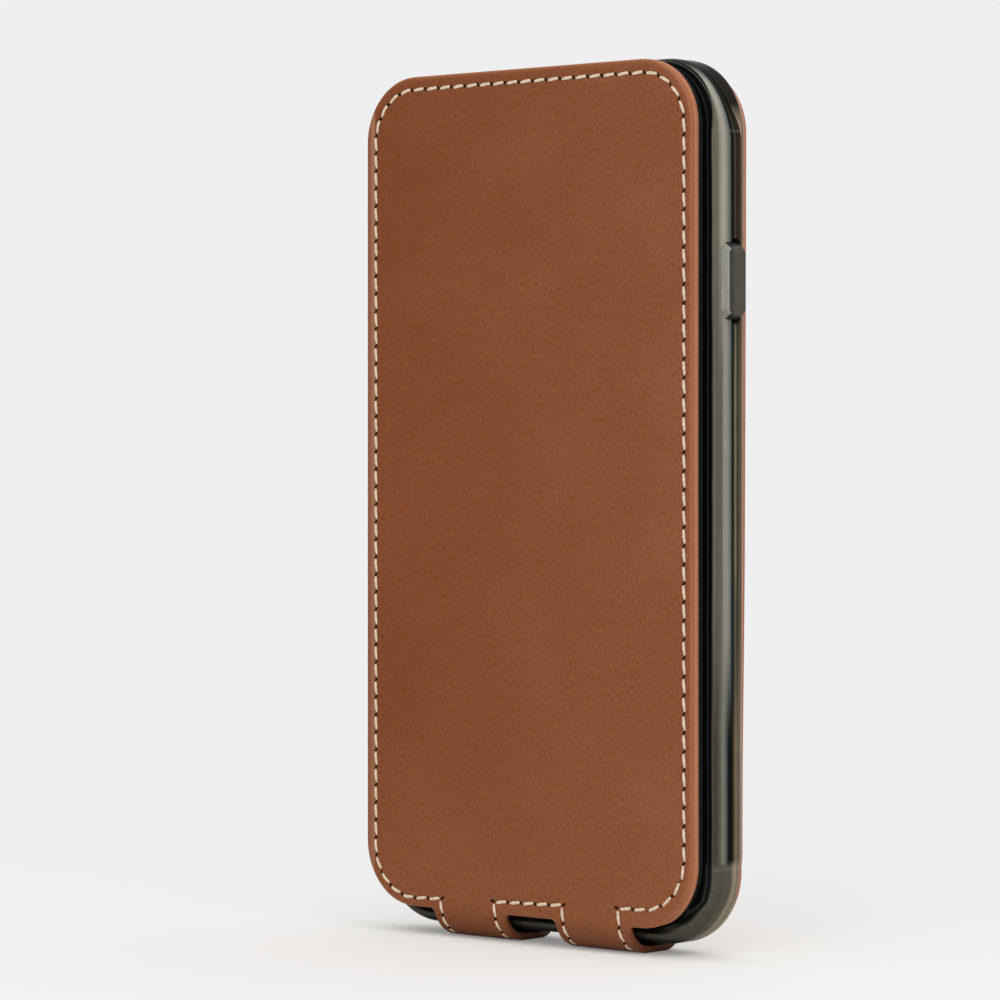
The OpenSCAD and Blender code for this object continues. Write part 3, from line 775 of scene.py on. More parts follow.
def button_material():
    """Satin smoky moulding of a button cover: a dark face on a clearer foot, painted dark as shade towards
    its back, with a painted highlight round the face.
    """
    n = new_material("satin_smoky_moulding")
    aside, depth, _ = n.split()
    fine = n.noise(6, 3, 0.6)
    haze = n.noise(0.5, 2, 0.5)
    raised = n.span(n.math("ABSOLUTE", aside), WALL_X, WALL_X + BUTTON_RISE)
    behind = n.span(depth, *(BUTTON_Y + way for way in CLEAR_BACK))
    bevel_at = FACE_HALF - BEVEL
    from_face = n.apart(depth, BUTTON_Y + FACE_ASIDE)
    is_bevel = n.span(from_face, bevel_at - BEVEL_SOFT, bevel_at + BEVEL_SOFT)
    face = n.ramp(haze, [(0.3, 67, 64, 56), (0.7, 75, 72, 63)])
    bevel = n.ramp(haze, [(0.3, 54, 54, 49), (0.7, 62, 61, 55)])
    clear = n.ramp(haze, [(0.3, 136, 135, 124), (0.7, 146, 145, 134)])
    # Painted shade: the foot's rear and end walls are dark
    foot = n.mix(behind, clear, srgb(26, 26, 24))
    n.base = n.mix(n.span(raised, 0.74, 0.79), foot, n.mix(is_bevel, face, bevel))
    # Painted highlight: a pale line round the face's foot
    rim = n.ramp(raised, [(0.68, 0), (0.73, 0.6), (0.78, 0)])
    n.tint(n.times(rim, n.minus(1, behind)), 176, 170, 154)
    n.shade(0.3, n.span(fine, 0.3, 0.7, 0.85, 1.1))
    return n.set(Roughness=n.span(fine, 0.3, 0.7, 0.4, 0.5),
                 Normal=n.bump(fine, 0.00002, 0.4), IOR=1.35, Specular_IOR_Level=0.3)


# ---------------- leather cover

# Radii of the leather's notches and edges, how far its front edge laps the lining, and its mesh's steps
NOTCH_R = 0.9
LEATHER_R = 0.7
INNER_R = 0.25
CAM_EDGE_R = 0.35
EDGE_LIP = 0.45
LIP_LEAST = 0.6
EDGE_STEP = 2.2
STRAP_STEP = 1.5
TOP_RINGS = (0, 0.05, 0.12, 0.21, 0.33, 0.48, 0.7, 1, 1.4, 1.8, 2.1, 2.4, 2.7, 3.1, 3.6)
INNER_RINGS = (0, 0.08, 0.25)
DIP_RANGE = (0.3, 1.2)
PANEL_SPACING = 2.3
STRAP_SPACING = 1.1
TOP_REACH = 2
UNDER_REACH = 4
# Depth and spread of the seam's groove, and depth and scale of the face's unevenness
SEAM_DIP = 0.13
SEAM_SPREAD = 0.5
UNEVEN = 0.035
UNEVEN_SCALE = 0.06
UNEVEN_SEED = 3.1
# What the "edge" attribute says inside the camera hole, in the boards' recesses and far from any edge
EDGE_CAMERA = 0.3
EDGE_RECESS = 2
EDGE_FAR = 9
# What the "under" attribute says at the underside's edge and on its face: how much of a darker brown is laid
# on
UNDER_EDGE = 0.1
UNDER_FACE = 0.9


# Middle of the camera window, across and up
openings = {o["name"]: o["box_m"] for o in frame["record"]["physics"]["openings"]}
CAM_X, CAM_Z = [(low + high) / 2 / MM for low, high in zip(*openings["camera_window"])][::2]


def leather_outlines():
    """Outline of the whole leather, the gap between the straps and the camera hole, drawn flat."""
    w, r, n = HALF_W, PANEL_R, NOTCH_R
    foot_r = r + FOOT_ROUND
    outer = [
        (-w, V_TOP, r), (-w, V_LOW, r), (STRAPS[0][0], V_LOW, n), (STRAPS[0][0], V_BACK_LOW, n),
        (-w, V_BACK_LOW, foot_r), (-w, V_BACK_TOP, r), (w, V_BACK_TOP, r), (w, V_BACK_LOW, foot_r),
        (STRAPS[1][1], V_BACK_LOW, n), (STRAPS[1][1], V_LOW, n), (w, V_LOW, r), (w, V_TOP, r)]
    gap = rectangle(STRAPS[0][1], V_BACK_LOW, STRAPS[1][0], V_LOW, n, hole=True)
    x, y = [size / 2 + CAM_RIM + CAM_CLEAR for size in (CAM_W, CAM_H)]
    v = REAR_V + REAR_R - CAM_Z
    camera = rectangle(CAM_X - x, v - y, CAM_X + x, v + y, x - ROUND_SLACK, hole=True)
    return [rounded_path(corners) for corners in (outer, gap, camera)]


def seam_runs():
    """The seam lines, drawn flat: one list for the front, one for the back and one for the straps."""
    left, right = SEAM_LEFT - HALF_W, HALF_W - SEAM_RIGHT
    r = PANEL_R - SEAM_TOP
    xs = [x for low, high in STRAPS for x in (low + STRAP_SEAM_IN, high - STRAP_SEAM_IN)]

    def row(u, back):
        """The lower row isn't quite level with the panel's edge."""
        rise = SEAM_LOW + SEAM_SLANT * u
        return (u, V_BACK_LOW - rise if back else V_LOW + rise)

    made = []
    for back in (False, True):
        top = V_BACK_TOP + SEAM_TOP if back else V_TOP - SEAM_TOP
        around = [(*row(xs[0], back), 0), (*row(left, back), r), (left, top, r), (right, top, r),
                  (*row(right, back), r), (*row(xs[3], back), 0)]
        between = [(*row(xs[1], back), 0), (*row(xs[2], back), 0)]
        made.append([around, between])
    made.append([[(*row(x, False), 0), (*row(x, True), 0)] for x in xs])
    return [[rounded_path(c, closed=False, line_step=SEAM_STEP) for c in runs] for runs in made]


FRONT_RUNS, BACK_RUNS, STRAP_RUNS = seam_runs()
SEAM_TREE = kd_tree([p for runs in (FRONT_RUNS, BACK_RUNS, STRAP_RUNS) for run in runs for p, _ in run])


def surface_depth(u, v):
    """How far the leather's face dips at a flat point: the seam's groove and a faint unevenness."""
    away = SEAM_TREE.find((u, v, 0))[2]
    groove = SEAM_DIP * exp(-((away / SEAM_SPREAD) ** 2))
    return groove + UNEVEN * noise.noise(Vector((u * UNEVEN_SCALE, v * UNEVEN_SCALE, UNEVEN_SEED)))


def thickness(u, v, lip=0):
    """Thickness of the leather at its edge: a board's thickness more on the panels than on the straps."""
    if v > V_SPLIT:
        full = FLAP_T + lip * (LIP_LEAST + (1 - LIP_LEAST) * abs(2 * v / V_TOP - 1))
        along = smooth(V_LOW, V_LOW + EDGE_STEP, v)
    else:
        full = BACK_T
        along = smooth(-V_BACK_LOW, -V_BACK_LOW + EDGE_STEP, -v)
    across = 0 if V_BACK_LOW < v < V_LOW else min(
        smooth(0, STRAP_STEP, max(low - u, u - high)) for low, high in STRAPS)
    return STRAP_T + (full - STRAP_T) * max(along, across)


def near_straps(reach):
    """Whether a flat point is on the straps or within this reach of them."""
    return lambda u, v: V_BACK_LOW - reach < v < V_LOW + reach


def leather_mesh():
    """The whole leather drawn flat, with rounded edges and a recess for each board."""
    bm = bmesh.new()
    edge = bm.verts.layers.float.new("edge")
    under = bm.verts.layers.float.new("under")

    def vert(u, v, d, e, below):
        made = bm.verts.new((u, v, d))
        made[edge] = e
        made[under] = below
        return made

    def row(path, inward, depth, e, below):
        return [vert(u, v, depth(u, v), e, below) for u, v in offset(path, inward)]

    tops, bottoms = [], []
    for path, r in zip(leather_outlines(), (LEATHER_R, LEATHER_R, CAM_EDGE_R)):
        rings = []
        for e in TOP_RINGS:
            drop, dip = edge_depth(e, r), smooth(*DIP_RANGE, e)
            rings.append(row(path, e, lambda u, v: drop + surface_depth(u, v) * dip, e, 0))
        skin(bm, rings)
        tops.append(loop_of(path, TOP_RINGS[-1], rings[-1]))
        if len(tops) == 3:
            rings = [rings[0], row(path, 0, lambda u, v: BACK_LEATHER_T, EDGE_CAMERA, 1)]
            camera_loop = loop_of(path, 0, rings[-1])
        else:
            middle = (r - INNER_R) / 2
            rings = [rings[0], row(path, 0, lambda u, v: middle + thickness(u, v) / 2, 0, 0)]
            for e in INNER_RINGS:
                rise = edge_depth(e, INNER_R)
                rings.append(row(path, e, lambda u, v: thickness(u, v, EDGE_LIP) - rise, e, UNDER_EDGE))
            bottoms.append(loop_of(path, INNER_RINGS[-1], rings[-1]))
        skin(bm, rings)
    in_straps = near_straps(TOP_REACH)
    extra = inside_points(plain(tops), PANEL_SPACING, lambda u, v: not in_straps(u, v))
    extra += inside_points(plain(tops), STRAP_SPACING, in_straps)
    fill(bm, tops, extra, lambda u, v: vert(u, v, surface_depth(u, v), EDGE_FAR, 0))
    back_zero = REAR_V + REAR_R
    boards = (
        (board_lo[2] - FRONT_R, board_hi[2] - FRONT_R, FLAP_LEATHER_T, []),
        (back_zero - back_board_hi[2], back_zero - back_board_lo[2], BACK_LEATHER_T, [camera_loop]))
    for low, high, inside, more in boards:
        corners = rectangle(-board_hi[0], low, board_hi[0], high, PANEL_R - TURNED_EDGE)
        path = rounded_path(corners, line_step=PANEL_STEP)
        rim = row(path, 0, thickness, EDGE_RECESS, 1)
        floor = row(path, 0, lambda u, v: inside, EDGE_RECESS, 1)
        skin(bm, [rim, floor])
        bottoms.append(loop_of(path, 0, rim))
        fill(bm, [loop_of(path, 0, floor)] + more)
    extra = inside_points(plain(bottoms), STRAP_SPACING, near_straps(UNDER_REACH))
    fill(bm, bottoms, extra, lambda u, v: vert(u, v, thickness(u, v), EDGE_FAR, UNDER_FACE))
    return bm


def split_leather(material):
    """Cuts the leather across the straps' middle and wraps both halves round the case."""
    whole = leather_mesh()
    made = []
    for name, keep_front in (("flap_cover_leather", True), ("back_cover_leather", False)):
        bm = whole.copy()
        cut = bmesh.ops.bisect_plane(
            bm, geom=bm.verts[:] + bm.edges[:] + bm.faces[:], plane_co=(0, V_SPLIT, 0), plane_no=(0, 1, 0),
            clear_inner=keep_front, clear_outer=not keep_front)
        edges = [g for g in cut["geom_cut"] if isinstance(g, bmesh.types.BMEdge)]
        bmesh.ops.holes_fill(bm, edges=edges, sides=0)
        made.append(finish_mesh(name, bm, material, wrap, LEATHER_SHARP))
    whole.free()
    return made


# ---------------- stitches

PITCH = 3.2
STITCH_GAP = 0.5
# A stitch's half width, half height, lean aside, and rise above the leather
STITCH_SIZE = (0.29, 0.19, 0.15, 0.05)
# Needle holes: size in a row and at a row's end, where they lie further out, and the heights of their lens
SLIT_W = 0.52
SLIT_L = 1
CORNER_SLIT_L = 1.2
CORNER_SLIT_OUT = 0.35
CORNER_SLIT_UP = 0.4
SLIT_TOP = 0.045
SLIT_RIM = 0.02
SLIT_FOOT = -0.12
SLIT_SIDES = 14
ROUND = 10
ALONG = 10
# A stitch's fullness, dive, least width and height, and how its two plies bulge and twist
FULLNESS = 0.42
DIVE = 1.1
LEAST_W = 0.35
LEAST_H = 0.4
PLY = 0.1
TWIST = 5
# How much deeper the thread lies under the case, and the shares of each bend where that starts and ends
STAND_SINK = 0.26
SINK_FRONT = (-0.62, -0.85)
SINK_REAR = (0.35, 0.8)


class Run:
    """A seam line with points by their distance along it."""

    def __init__(self, path):
        self.path = path
        self.at = [0]
        for (p, _), (q, _) in zip(path, path[1:]):
            self.at.append(self.at[-1] + (q - p).length)
        self.length = self.at[-1]

    def point(self, s):
        """Place, direction and normal at distance s."""
        s = min(max(s, 0), self.length)
        i = min(int(np.searchsorted(self.at, s, side="right")) - 1, len(self.path) - 2)
        span = self.at[i + 1] - self.at[i]
        t = (s - self.at[i]) / span if span else 0
        p = self.path[i][0].lerp(self.path[i + 1][0], t)
        n = self.path[i][1].lerp(self.path[i + 1][1], t).normalized()
        return p, Vector((-n.y, n.x)), n


def add_stitch(bm, run, s0, s1, size, place):
    """One stitch of two twisted plies from s0 to s1, which dives into its holes at both ends."""
    width, height, lean, proud = size
    rings = []
    for i in range(ALONG + 1):
        t = i / ALONG
        body = max(sin(pi * t), 0) ** FULLNESS
        p, _, n = run.point(s0 + (s1 - s0) * t)
        spot = p + n * (lean * (1 - 2 * t))
        rise = proud + height * (body - 1) * DIVE
        verts = []
        for k in range(ROUND):
            a = 2 * pi * k / ROUND
            ply = 1 + PLY * cos(2 * a - TWIST * pi * t)
            across = width * (LEAST_W + (1 - LEAST_W) * body) * ply * cos(a)
            up = height * (LEAST_H + (1 - LEAST_H) * body) * ply * sin(a)
            verts.append(bm.verts.new(place(spot + n * across, rise + up)))
        rings.append(verts)
    tube(bm, rings)


def add_slit(bm, middle, axis, length):
    """A low dark lens over a needle hole."""
    side = Vector((-axis.y, axis.x))
    top = bm.verts.new(leather_spot(middle, SLIT_TOP))
    bottom = bm.verts.new(leather_spot(middle, SLIT_FOOT))
    rim = []
    for k in range(SLIT_SIDES):
        a = 2 * pi * k / SLIT_SIDES
        spot = middle + axis * (length / 2 * cos(a)) + side * (SLIT_W / 2 * sin(a))
        rim.append(bm.verts.new(leather_spot(spot, SLIT_RIM)))
    for p, q in zip(rim, rim[1:] + rim[:1]):
        bm.faces.new((top, p, q))
        bm.faces.new((bottom, q, p))


def leather_spot(p, height):
    """Flat place a little above the leather's dipped face; the thread lies deeper where the case stands."""
    if p.y > V_SPLIT:
        low = smooth(*(share * FRONT_ARC for share in SINK_FRONT), p.y)
    else:
        low = smooth(*(REAR_V + share * REAR_ARC for share in SINK_REAR), p.y)
    return (p.x, p.y, surface_depth(p.x, p.y) - height + STAND_SINK * low)


def add_stitches(bm, run, pitch, size, place, keep=lambda v: True):
    """Even stitches along a run, where keep(v) says so: their number and their pitch."""
    count = max(1, round(run.length / pitch))
    pitch = run.length / count
    for i in range(count):
        s0, s1 = i * pitch, (i + 1) * pitch
        if keep(run.point((s0 + s1) / 2)[0].y):
            add_stitch(bm, run, s0 + STITCH_GAP / 2, s1 - STITCH_GAP / 2, size, place)
    return count, pitch


def seam_objects(name, runs, keep):
    """Stitches and needle holes along the runs, where keep(v) says so."""
    stitches, slits = bmesh.new(), bmesh.new()
    for path in runs:
        run = Run(path)
        count, pitch = add_stitches(stitches, run, PITCH, STITCH_SIZE, leather_spot, keep)
        # The straps' seams share their end holes with the panels' seams
        ends = 1 if path in STRAP_RUNS else 0
        for i in range(ends, count + 1 - ends):
            p, d, n = run.point(i * pitch)
            if not keep(p.y):
                continue
            if 0 < i < count:
                add_slit(slits, p, (d + n).normalized(), SLIT_L)
            else:
                up = Vector((0, CORNER_SLIT_UP if p.y > V_SPLIT else -CORNER_SLIT_UP))
                out = (up - d if i == 0 else up + d).normalized()
                add_slit(slits, p + out * CORNER_SLIT_OUT, out, CORNER_SLIT_L)
    return (finish_mesh(name + "_stitches", stitches, thread, wrap, THREAD_SHARP),
            finish_mesh(name + "_needle_holes", slits, needle_hole, wrap, THREAD_SHARP))


# ---------------- shell

SIDE_STEP = 3
CUTTER_STEP = 50
ROUND_STEPS = 8
SIDE_STEPS = 5
LIP_STEPS = 14
LIP_TURN = (0.05, -0.08)
# Rounded rims of the camera window, outside and inside: radius, and the middle point's distance
CAM_OUT = (0.3, 0.09)
CAM_IN = (0.35, 0.1)
# Reaches of the cutters up through the foot and across the sides, and the slots past a button cover's ends
FOOT_CUT = (-2, 3.5)
MUTE_CUT = (-2.8, 3)
BUTTON_CUT = (-4.2, 3)
END_CUT = (-4.3, 3.1)
END_SLOT_W = 2.6
END_SLOT_R = 1
END_SLOT_BACK = 1.2
BUTTON_END_GAP = 0.8
RELIEF_ROUND = 0.4
# Each button cover's node with its side of the case and its body
BUTTONS = (("side_button", 1, "side_button"), ("volume_up_button", -1, "volume_up"),
           ("volume_down_button", -1, "volume_down"))


def shell_profile():
    """Section of the shell from the back plate's edge round to the bay's floor: (in, forward)."""
    wall_top = SHELL_T - FRONT_EDGE_R
    mouth = WALL + LIP_IN
    turn = acos(1 - mouth / FRONT_EDGE_R)
    spots = arc(REAR_EDGE_R, REAR_EDGE_R, REAR_EDGE_R, 1.5 * pi, pi, ROUND_STEPS)
    side = wall_top - REAR_EDGE_R
    spots += [(0, REAR_EDGE_R + side * k / SIDE_STEPS) for k in range(1, SIDE_STEPS + 1)]
    spots += arc(FRONT_EDGE_R, wall_top, FRONT_EDGE_R, pi, pi - turn, LIP_STEPS, first=1)
    spots.append((mouth + LIP_TURN[0], spots[-1][1] + LIP_TURN[1]))
    x = WALL + BAY_EDGE_R
    lip = acos(1 - LIP_IN / BAY_EDGE_R)
    spots += arc(x, SHELL_BACK + BAY_T - BAY_EDGE_R, BAY_EDGE_R, pi - lip, pi, ROUND_STEPS)
    return spots + arc(x, SHELL_BACK + BAY_EDGE_R, BAY_EDGE_R, pi, 1.5 * pi, ROUND_STEPS)


def prism(corners, reach, place):
    """Straight-sided cutter over a flat outline."""
    path = rounded_path(corners, line_step=CUTTER_STEP)
    bm = bmesh.new()
    tube(bm, [ring(bm, path, 0, lambda x, y: place(x, y, h)) for h in reach])
    bmesh.ops.recalc_face_normals(bm, faces=bm.faces)
    return add_object("cutter", bm)


def slot(w, h):
    return rectangle(-w / 2, -h / 2, w / 2, h / 2, min(w, h) / 2 - ROUND_SLACK)


def cut_corners(w, l, c, r):
    """Corners of a rectangle w by l whose corners are cut off, with small rounds between the sides."""
    x, y = w / 2, l / 2
    half = [(x - c, -y, r), (x, c - y, r), (x, y - c, r), (x - c, y, r)]
    return half + [(-a, -b, r) for a, b, _ in half]


def button_middle(node):
    """Middle (depth, height), width and length of a button cover."""
    low, high = box_mm(node)
    y, z = [(low[i] + high[i]) / 2 for i in (1, 2)]
    return y + BUTTON_ASIDE, z, high[1] - low[1], high[2] - low[2]


def foot_place(x0):
    return lambda x, y, h: (x0 + x, PHONE_Y + y, SHELL_LOW + h)


def side_place(side, y0, z0):
    """Where a flat (x, y) goes on the shell's side, h out from it."""
    return lambda x, y, h: (side * (WALL_X + h), y0 + x, z0 + y)


def shell_cutters():
    """Cutters for the openings in the shell's edge."""
    made = []
    for x0, size in ((0, PORT), (-SPEAKER_X, SPEAKER), (SPEAKER_X, SPEAKER)):
        made.append(prism(slot(*size), FOOT_CUT, foot_place(x0)))
    made.append(prism(slot(*MUTE), MUTE_CUT, side_place(-1, PHONE_Y, SHELL_TOP - MUTE_DOWN)))
    for node, side, _ in BUTTONS:
        y0, z0, width, length = button_middle(node)
        relief = cut_corners(width + BUTTON_GAP, length + BUTTON_GAP, BUTTON_CORNER, RELIEF_ROUND)
        made.append(prism(relief, BUTTON_CUT, side_place(side, y0, z0)))
        x, y = END_SLOT_W / 2, length / 2 + BUTTON_END_GAP
        ends = rectangle(-x, -y, x, y, END_SLOT_R)
        made.append(prism(ends, END_CUT, side_place(side, y0 + END_SLOT_BACK, z0)))
    return made


def cut_out(obj, cutters):
    """Takes the cutters away from the mesh."""
    for cutter in cutters:
        change = obj.modifiers.new("cut", "BOOLEAN")
        change.operation = "DIFFERENCE"
        change.solver = "EXACT"
        change.object = cutter
    graph = bpy.context.evaluated_depsgraph_get()
    bm = bmesh.new()
    bm.from_object(obj, graph)
    for used in cutters + [obj]:
        mesh = used.data
        bpy.data.objects.remove(used)
        bpy.data.meshes.remove(mesh)
    bmesh.ops.remove_doubles(bm, verts=bm.verts, dist=WELD)
    return bm


def shell_piece(material):
    """Moulded shell: the swept edge, the back plate with its camera window's rim, and the openings."""
    bm = bmesh.new()
    corners = [(x, z, SHELL_TOP_R if z > SHELL_LOW else r)
               for x, z, r in rectangle(-WALL_X, SHELL_LOW, WALL_X, SHELL_TOP, SHELL_R)]
    path = rounded_path(corners, line_step=SIDE_STEP)
    x, z = CAM_W / 2 + CAM_RIM, CAM_H / 2 + CAM_RIM
    window = rounded_path(rectangle(CAM_X - x, CAM_Z - z, CAM_X + x, CAM_Z + z, x - ROUND_SLACK, hole=True))
    (out_r, out_mid), (in_r, in_mid) = CAM_OUT, CAM_IN
    rim = [(0, 0), (0, out_r - BACK_T), (out_mid, out_mid - BACK_T), (out_r, -BACK_T),
           (CAM_RIM - in_r, -BACK_T), (CAM_RIM - in_mid, in_mid - BACK_T), (CAM_RIM, in_r - BACK_T),
           (CAM_RIM, SHELL_BACK)]
    ends = []
    for line, section in ((path, shell_profile()), (window, [(-e, t) for e, t in rim])):
        rings = [ring(bm, line, e, lambda x, z: (x, SHELL_REAR - t, z)) for e, t in section]
        skin(bm, rings)
        ends.append([loop_of(line, section[i][0], rings[i]) for i in (0, -1)])
    for loops in zip(*ends):
        fill(bm, loops)
    bmesh.ops.recalc_face_normals(bm, faces=bm.faces)
    bm = cut_out(add_object("shell", bm), shell_cutters())
    return finish_mesh("smoky_shell", bm, material, as_is)


BEVEL_STEPS = 5
COVER_CORNER = (0.9, 0.55)
COVER_ROUND = 0.5
# How a cover's foot starts and how its slope ends: (in, out) from the shell's side and from the face's edge
COVER_FOOT = ((0, -0.02), (0.05, 0.1))
SLOPE_END = (0.06, 0.1)


def button_piece(node, side, material):
    """Button cover: a foot with sloped sides, cut corners and a softly rounded face."""
    y0, z0, width, length = button_middle(node)
    low, high = box_mm(node)
    inner, rise = sorted(abs(end[0]) - WALL_X for end in (low, high))
    slope = width / 2 - FACE_HALF
    face = rise - BEVEL_H
    stack = [(0, inner), *COVER_FOOT, (slope / 2, face / 2)]
    stack += [(slope - SLOPE_END[0], face - SLOPE_END[1]), (slope, face)]
    for k in range(1, BEVEL_STEPS + 1):
        t = k / BEVEL_STEPS
        stack.append((slope + BEVEL * t, rise - BEVEL_H * (1 - t) ** 2))
    bm = bmesh.new()
    rings = []
    for e, h in stack:
        corner = max(BUTTON_CORNER - e * COVER_CORNER[0], COVER_CORNER[1])
        corners = cut_corners(width - 2 * e, length - 2 * e, corner, COVER_ROUND)
        path = rounded_path(corners, line_step=CUTTER_STEP)
        place = side_place(side, y0 + FACE_ASIDE * min(e / slope, 1), z0)
        rings.append(ring(bm, path, 0, lambda x, y: place(x, y, h)))
    tube(bm, rings)
    return finish_mesh(node + "_cover", bm, material, as_is, COVER_SHARP)


# ---------------- lining and pocket

LINING_R = 0.45
POCKET_R = 0.2
LINING_RINGS = (0, 0.05, 0.14, 0.28, 0.45, 0.8, 1.3, 2)
POCKET_RINGS = (0, 0.04, 0.1, 0.2, 0.35)
NOTCH_STEPS = 14
NOTCH_SOFT = 0.05
NOTCH_END_R = 1
POCKET_TOP_R = 0.3
POCKET_SEAM_IN = 0.9
POCKET_SEAM_STEP = 0.5
POCKET_PITCH = 2.6
POCKET_STITCH = (0.2, 0.12, 0.05, 0.02)


def lining_place(x, z, d):
    """Place of a point d below the lining's inner face."""
    return Vector((x, lining_hi[1] - d, z)) * MM


def soft_edged(bm, path, insets, r, depth):
    """Rounded edge along the path and a wall below it: the loops at its top and its foot."""
    rings = [ring(bm, path, e, lambda x, z: (x, z, edge_depth(e, r))) for e in insets]
    skin(bm, rings)
    foot = ring(bm, path, 0, lambda x, z: (x, z, depth))
    skin(bm, [rings[0], foot])
    return loop_of(path, insets[-1], rings[-1]), loop_of(path, 0, foot)


def lining_piece(material):
    """Padded lining with a rounded edge and a recess for the card pocket."""
    bm = bmesh.new()
    outer = rectangle(lining_lo[0], lining_lo[2], lining_hi[0], lining_hi[2], PANEL_R - LINING_IN)
    half = pocket_hi[0] + POCKET_CLEAR
    low = pocket_lo[2] - POCKET_CLEAR
    recess = rectangle(-half, low, half, low + RECESS_H, RECESS_R, hole=True)
    tops = []
    for corners, r, depth in ((outer, LINING_R, lining_hi[1] - lining_lo[1]), (recess, POCKET_R, RECESS_T)):
        top, foot = soft_edged(bm, rounded_path(corners), LINING_RINGS, r, depth)
        tops.append(top)
        bm.faces.new([v for _, _, v in foot])
    fill(bm, tops)
    return finish_mesh("flap_padded_lining", bm, material, lining_place)


def pocket_piece(material):
    """Pocket's panel with its thumb notch."""
    half, low, high = pocket_hi[0], pocket_lo[2], pocket_hi[2]
    notch = [(x, z, NOTCH_SOFT) for x, z in arc(0, high, THUMB_R, 0, -pi, NOTCH_STEPS)]
    for end in (0, -1):
        notch[end] = (*notch[end][:2], NOTCH_END_R)
    r = RECESS_R - POCKET_CLEAR
    corners = [(-half, low, r), (half, low, r), (half, high, POCKET_TOP_R), *notch]
    corners.append((-half, high, POCKET_TOP_R))
    bm = bmesh.new()
    path = rounded_path(corners, line_step=PANEL_STEP)
    for loop in soft_edged(bm, path, POCKET_RINGS, POCKET_R, pocket_hi[1] - pocket_lo[1]):
        fill(bm, [loop])
    return finish_mesh("card_pocket_panel", bm, material, lining_place)


def pocket_stitches(material):
    """Black stitches along the pocket's sides and lower edge."""
    half = pocket_hi[0] - POCKET_SEAM_IN
    low, high = pocket_lo[2] + POCKET_SEAM_IN, pocket_hi[2] - POCKET_SEAM_IN
    r = RECESS_R - POCKET_CLEAR - POCKET_SEAM_IN
    corners = [(-half, high, 0), (-half, low, r), (half, low, r), (half, high, 0)]
    run = Run(rounded_path(corners, closed=False, line_step=POCKET_SEAM_STEP))
    bm = bmesh.new()
    add_stitches(bm, run, POCKET_PITCH, POCKET_STITCH, lambda p, h: (p.x, p.y, -h))
    return finish_mesh("card_pocket_stitches", bm, material, lining_place, THREAD_SHARP)


# ---------------- build

leather = leather_material()
thread = thread_material("cream_thread", (228, 210, 182), (192, 168, 138))
black_thread = thread_material("black_thread", (34, 34, 34), (16, 16, 16))
needle_hole = hole_material()
lining_cloth = lining_material()
fibreboard = board_material()
smoke = shell_material()
button_smoke = button_material()

# Each bend's middle (depth, height), the way to its panel's foot, and the distances along that way at
# which the blend starts, on the strap, and ends, on the panel
FRONT_BEND = (FRONT_Y + FRONT_R, FRONT_R, -1, -4.38, 1.9)
REAR_BEND = (BACK_Y - REAR_R, REAR_R, 1, -2.2, 2.4)


def fold_blend(obj):
    """Bakes obj's place into its mesh."""
    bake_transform(obj)


front_cover, back_cover = split_leather(leather)
front_stitches, front_holes = seam_objects("flap", FRONT_RUNS + STRAP_RUNS, lambda v: v > V_SPLIT)
back_stitches, back_holes = seam_objects("back", BACK_RUNS + STRAP_RUNS, lambda v: v <= V_SPLIT)
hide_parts("flap_leather", "strap_left", "strap_right")
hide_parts("back_leather")
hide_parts("flap_thread", "strap_left_thread", "strap_right_thread")
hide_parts("back_thread")
for pieces, other, bend in (((front_cover, front_stitches, front_holes), "flap", FRONT_BEND),
                            ((back_cover, back_stitches, back_holes), "shell", REAR_BEND)):
    for piece, name in zip(pieces, ("leather", "thread", "leather")):
        fold_blend(piece)

rigid = [(shell_piece(smoke), "shell", "tpu_shell", "smoked_shell")]
for node, side, body in BUTTONS:
    rigid.append((button_piece(node, side, button_smoke), body, node, "smoked_button"))
rigid.append((lining_piece(lining_cloth), "flap", "flap_lining", "lining"))
rigid.append((pocket_piece(lining_cloth), "flap", "card_pocket", "lining"))
rigid.append((pocket_stitches(black_thread), "flap", "pocket_thread", "black_thread"))
for piece, body, node, name in rigid:
    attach(piece, body)
    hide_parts(node)

for node, material in (("pocket_welt", lining_cloth), ("flap_board", fibreboard), ("back_board", fibreboard)):
    for held in frame["nodes"][node].material_slots:
        held.material = material


# ---------------- stage, lights and camera

BACKGROUND = srgb(239, 239, 239)
FLOOR_R = 1.6
SHADOW_FADE = 0.5
# Distances from the case in metres: where the floor's painted warm shade and its shadow fade, and where it
# ends
WARM_SHADE_RANGE = (0.03, 0.11)
SHADOW_RANGE = (0.05, 0.32)
CONTACT_RANGE = (0.006, 0.012)
FLOOR_RANGE = (0.12, 0.5)
WORLD_STRENGTH = 0.66
# Lamps in metres and watts: name, place, width, height, power; and the point that they face
LAMPS = (("front_box", (0.35, -1, 0.85), 0.9, 0.8, 4.6), ("right_box", (1, -0.35, 0.9), 0.8, 0.8, 4.5),
         ("top_box", (0, 0.2, 1.2), 0.9, 0.9, 2.6))
LAMP_AIM = Vector((0, 0, 0.08))


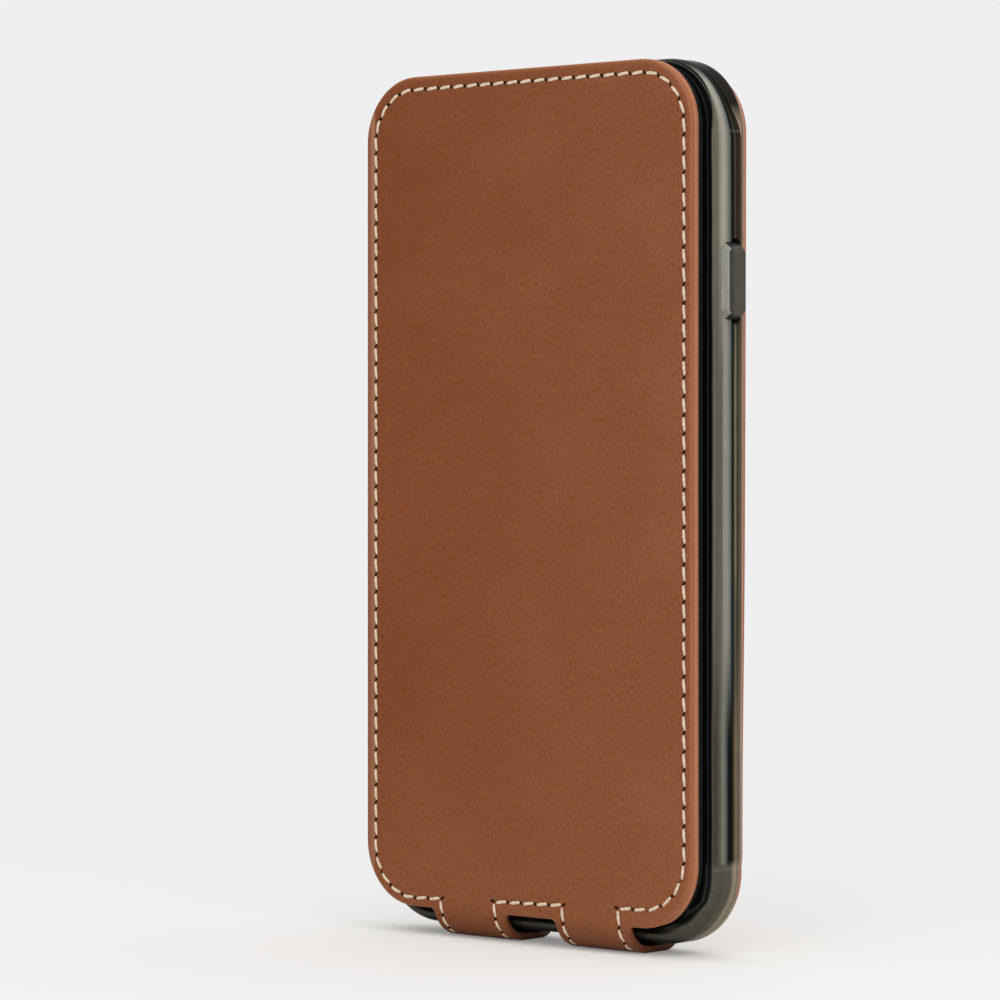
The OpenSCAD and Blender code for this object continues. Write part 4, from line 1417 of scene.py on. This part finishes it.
def stage_floor():
    """Round pale floor that fades into the background."""
    bm = bmesh.new()
    bmesh.ops.create_circle(bm, cap_ends=True, radius=FLOOR_R, segments=64)
    floor = add_object("floor", bm)
    n = new_material("pale_floor", bends=False)
    away = n.length(n.place)
    beside = n.length(n.stretch((0.2, 1, 1)))
    # Painted warm shade on the floor near the case
    n.base = n.ramp(n.span(away, *WARM_SHADE_RANGE), [(0, 244, 241, 234), (0.7, 240, 240, 240)])
    n.set(Roughness=0.9, Specular_IOR_Level=0.05)
    # The camera sees the floor's shadow painted lighter: the background shows through it, less so right
    # beside the case
    seen = n.add("LightPath").outputs["Is Camera Ray"]
    paler = n.times(seen, n.span(away, *SHADOW_RANGE, SHADOW_FADE, 1))
    paler = n.times(paler, n.span(beside, *CONTACT_RANGE, 0.4, 1))
    fade = n.math("MAXIMUM", n.span(away, *FLOOR_RANGE), paler)
    clear = n.add("BsdfTransparent").outputs[0]
    shader = n.tree.nodes["Principled BSDF"].outputs[0]
    n.feed(n.tree.nodes["Material Output"].inputs["Surface"], n.over(fade, shader, clear))
    floor.data.materials.append(n.owner)


def world_light(strength):
    """Even white light, which the camera and glossy and clear surfaces see as the background's colour."""
    n = Nodes(bpy.data.worlds.new("studio"))
    light = n.tree.nodes["Background"]
    n.feed(light.inputs["Color"], (1, 1, 1, 1))
    n.feed(light.inputs["Strength"], strength)
    seen = n.add("Background", {"Color": BACKGROUND})
    rays = n.add("LightPath").outputs
    seen_by = n.math("MAXIMUM", rays["Is Camera Ray"], rays["Is Glossy Ray"])
    seen_by = n.math("MAXIMUM", seen_by, rays["Is Transmission Ray"])
    n.feed(n.tree.nodes["World Output"].inputs["Surface"], n.over(seen_by, light.outputs[0], seen.outputs[0]))
    bpy.context.scene.world = n.owner


def softbox(name, place, width, height, watts):
    """Soft rectangular lamp that points at the case's middle."""
    lamp = bpy.data.lights.new(name, "AREA")
    lamp.shape = "RECTANGLE"
    lamp.size = width
    lamp.size_y = height
    lamp.energy = watts
    obj = in_scene(name, lamp)
    obj.location = place
    obj.rotation_euler = (LAMP_AIM - Vector(place)).to_track_quat("-Z", "Y").to_euler()


stage_floor()
world_light(WORLD_STRENGTH)
for lamp_values in LAMPS:
    softbox(*lamp_values)

# Camera: 742.5 mm from the case's axis, turned 41.4 degrees, level, at 87.9 mm above the floor
VIEW_TURN = radians(41.4)
VIEW_AWAY = 0.7425
VIEW_HEIGHT = 0.08786
VIEW_ASIDE = -0.00907
camera_data = bpy.data.cameras.new("camera")
camera_data.lens = 150.03
camera_data.sensor_width = 36
camera_data.shift_y = -0.0513
camera = in_scene("camera", camera_data)
camera.location = (
    VIEW_AWAY * sin(VIEW_TURN) + VIEW_ASIDE * cos(VIEW_TURN),
    -VIEW_AWAY * cos(VIEW_TURN) + VIEW_ASIDE * sin(VIEW_TURN), VIEW_HEIGHT)
camera.rotation_euler = (radians(90), 0, VIEW_TURN)
bpy.context.scene.camera = camera
bpy.context.scene.view_settings.view_transform = "Standard"
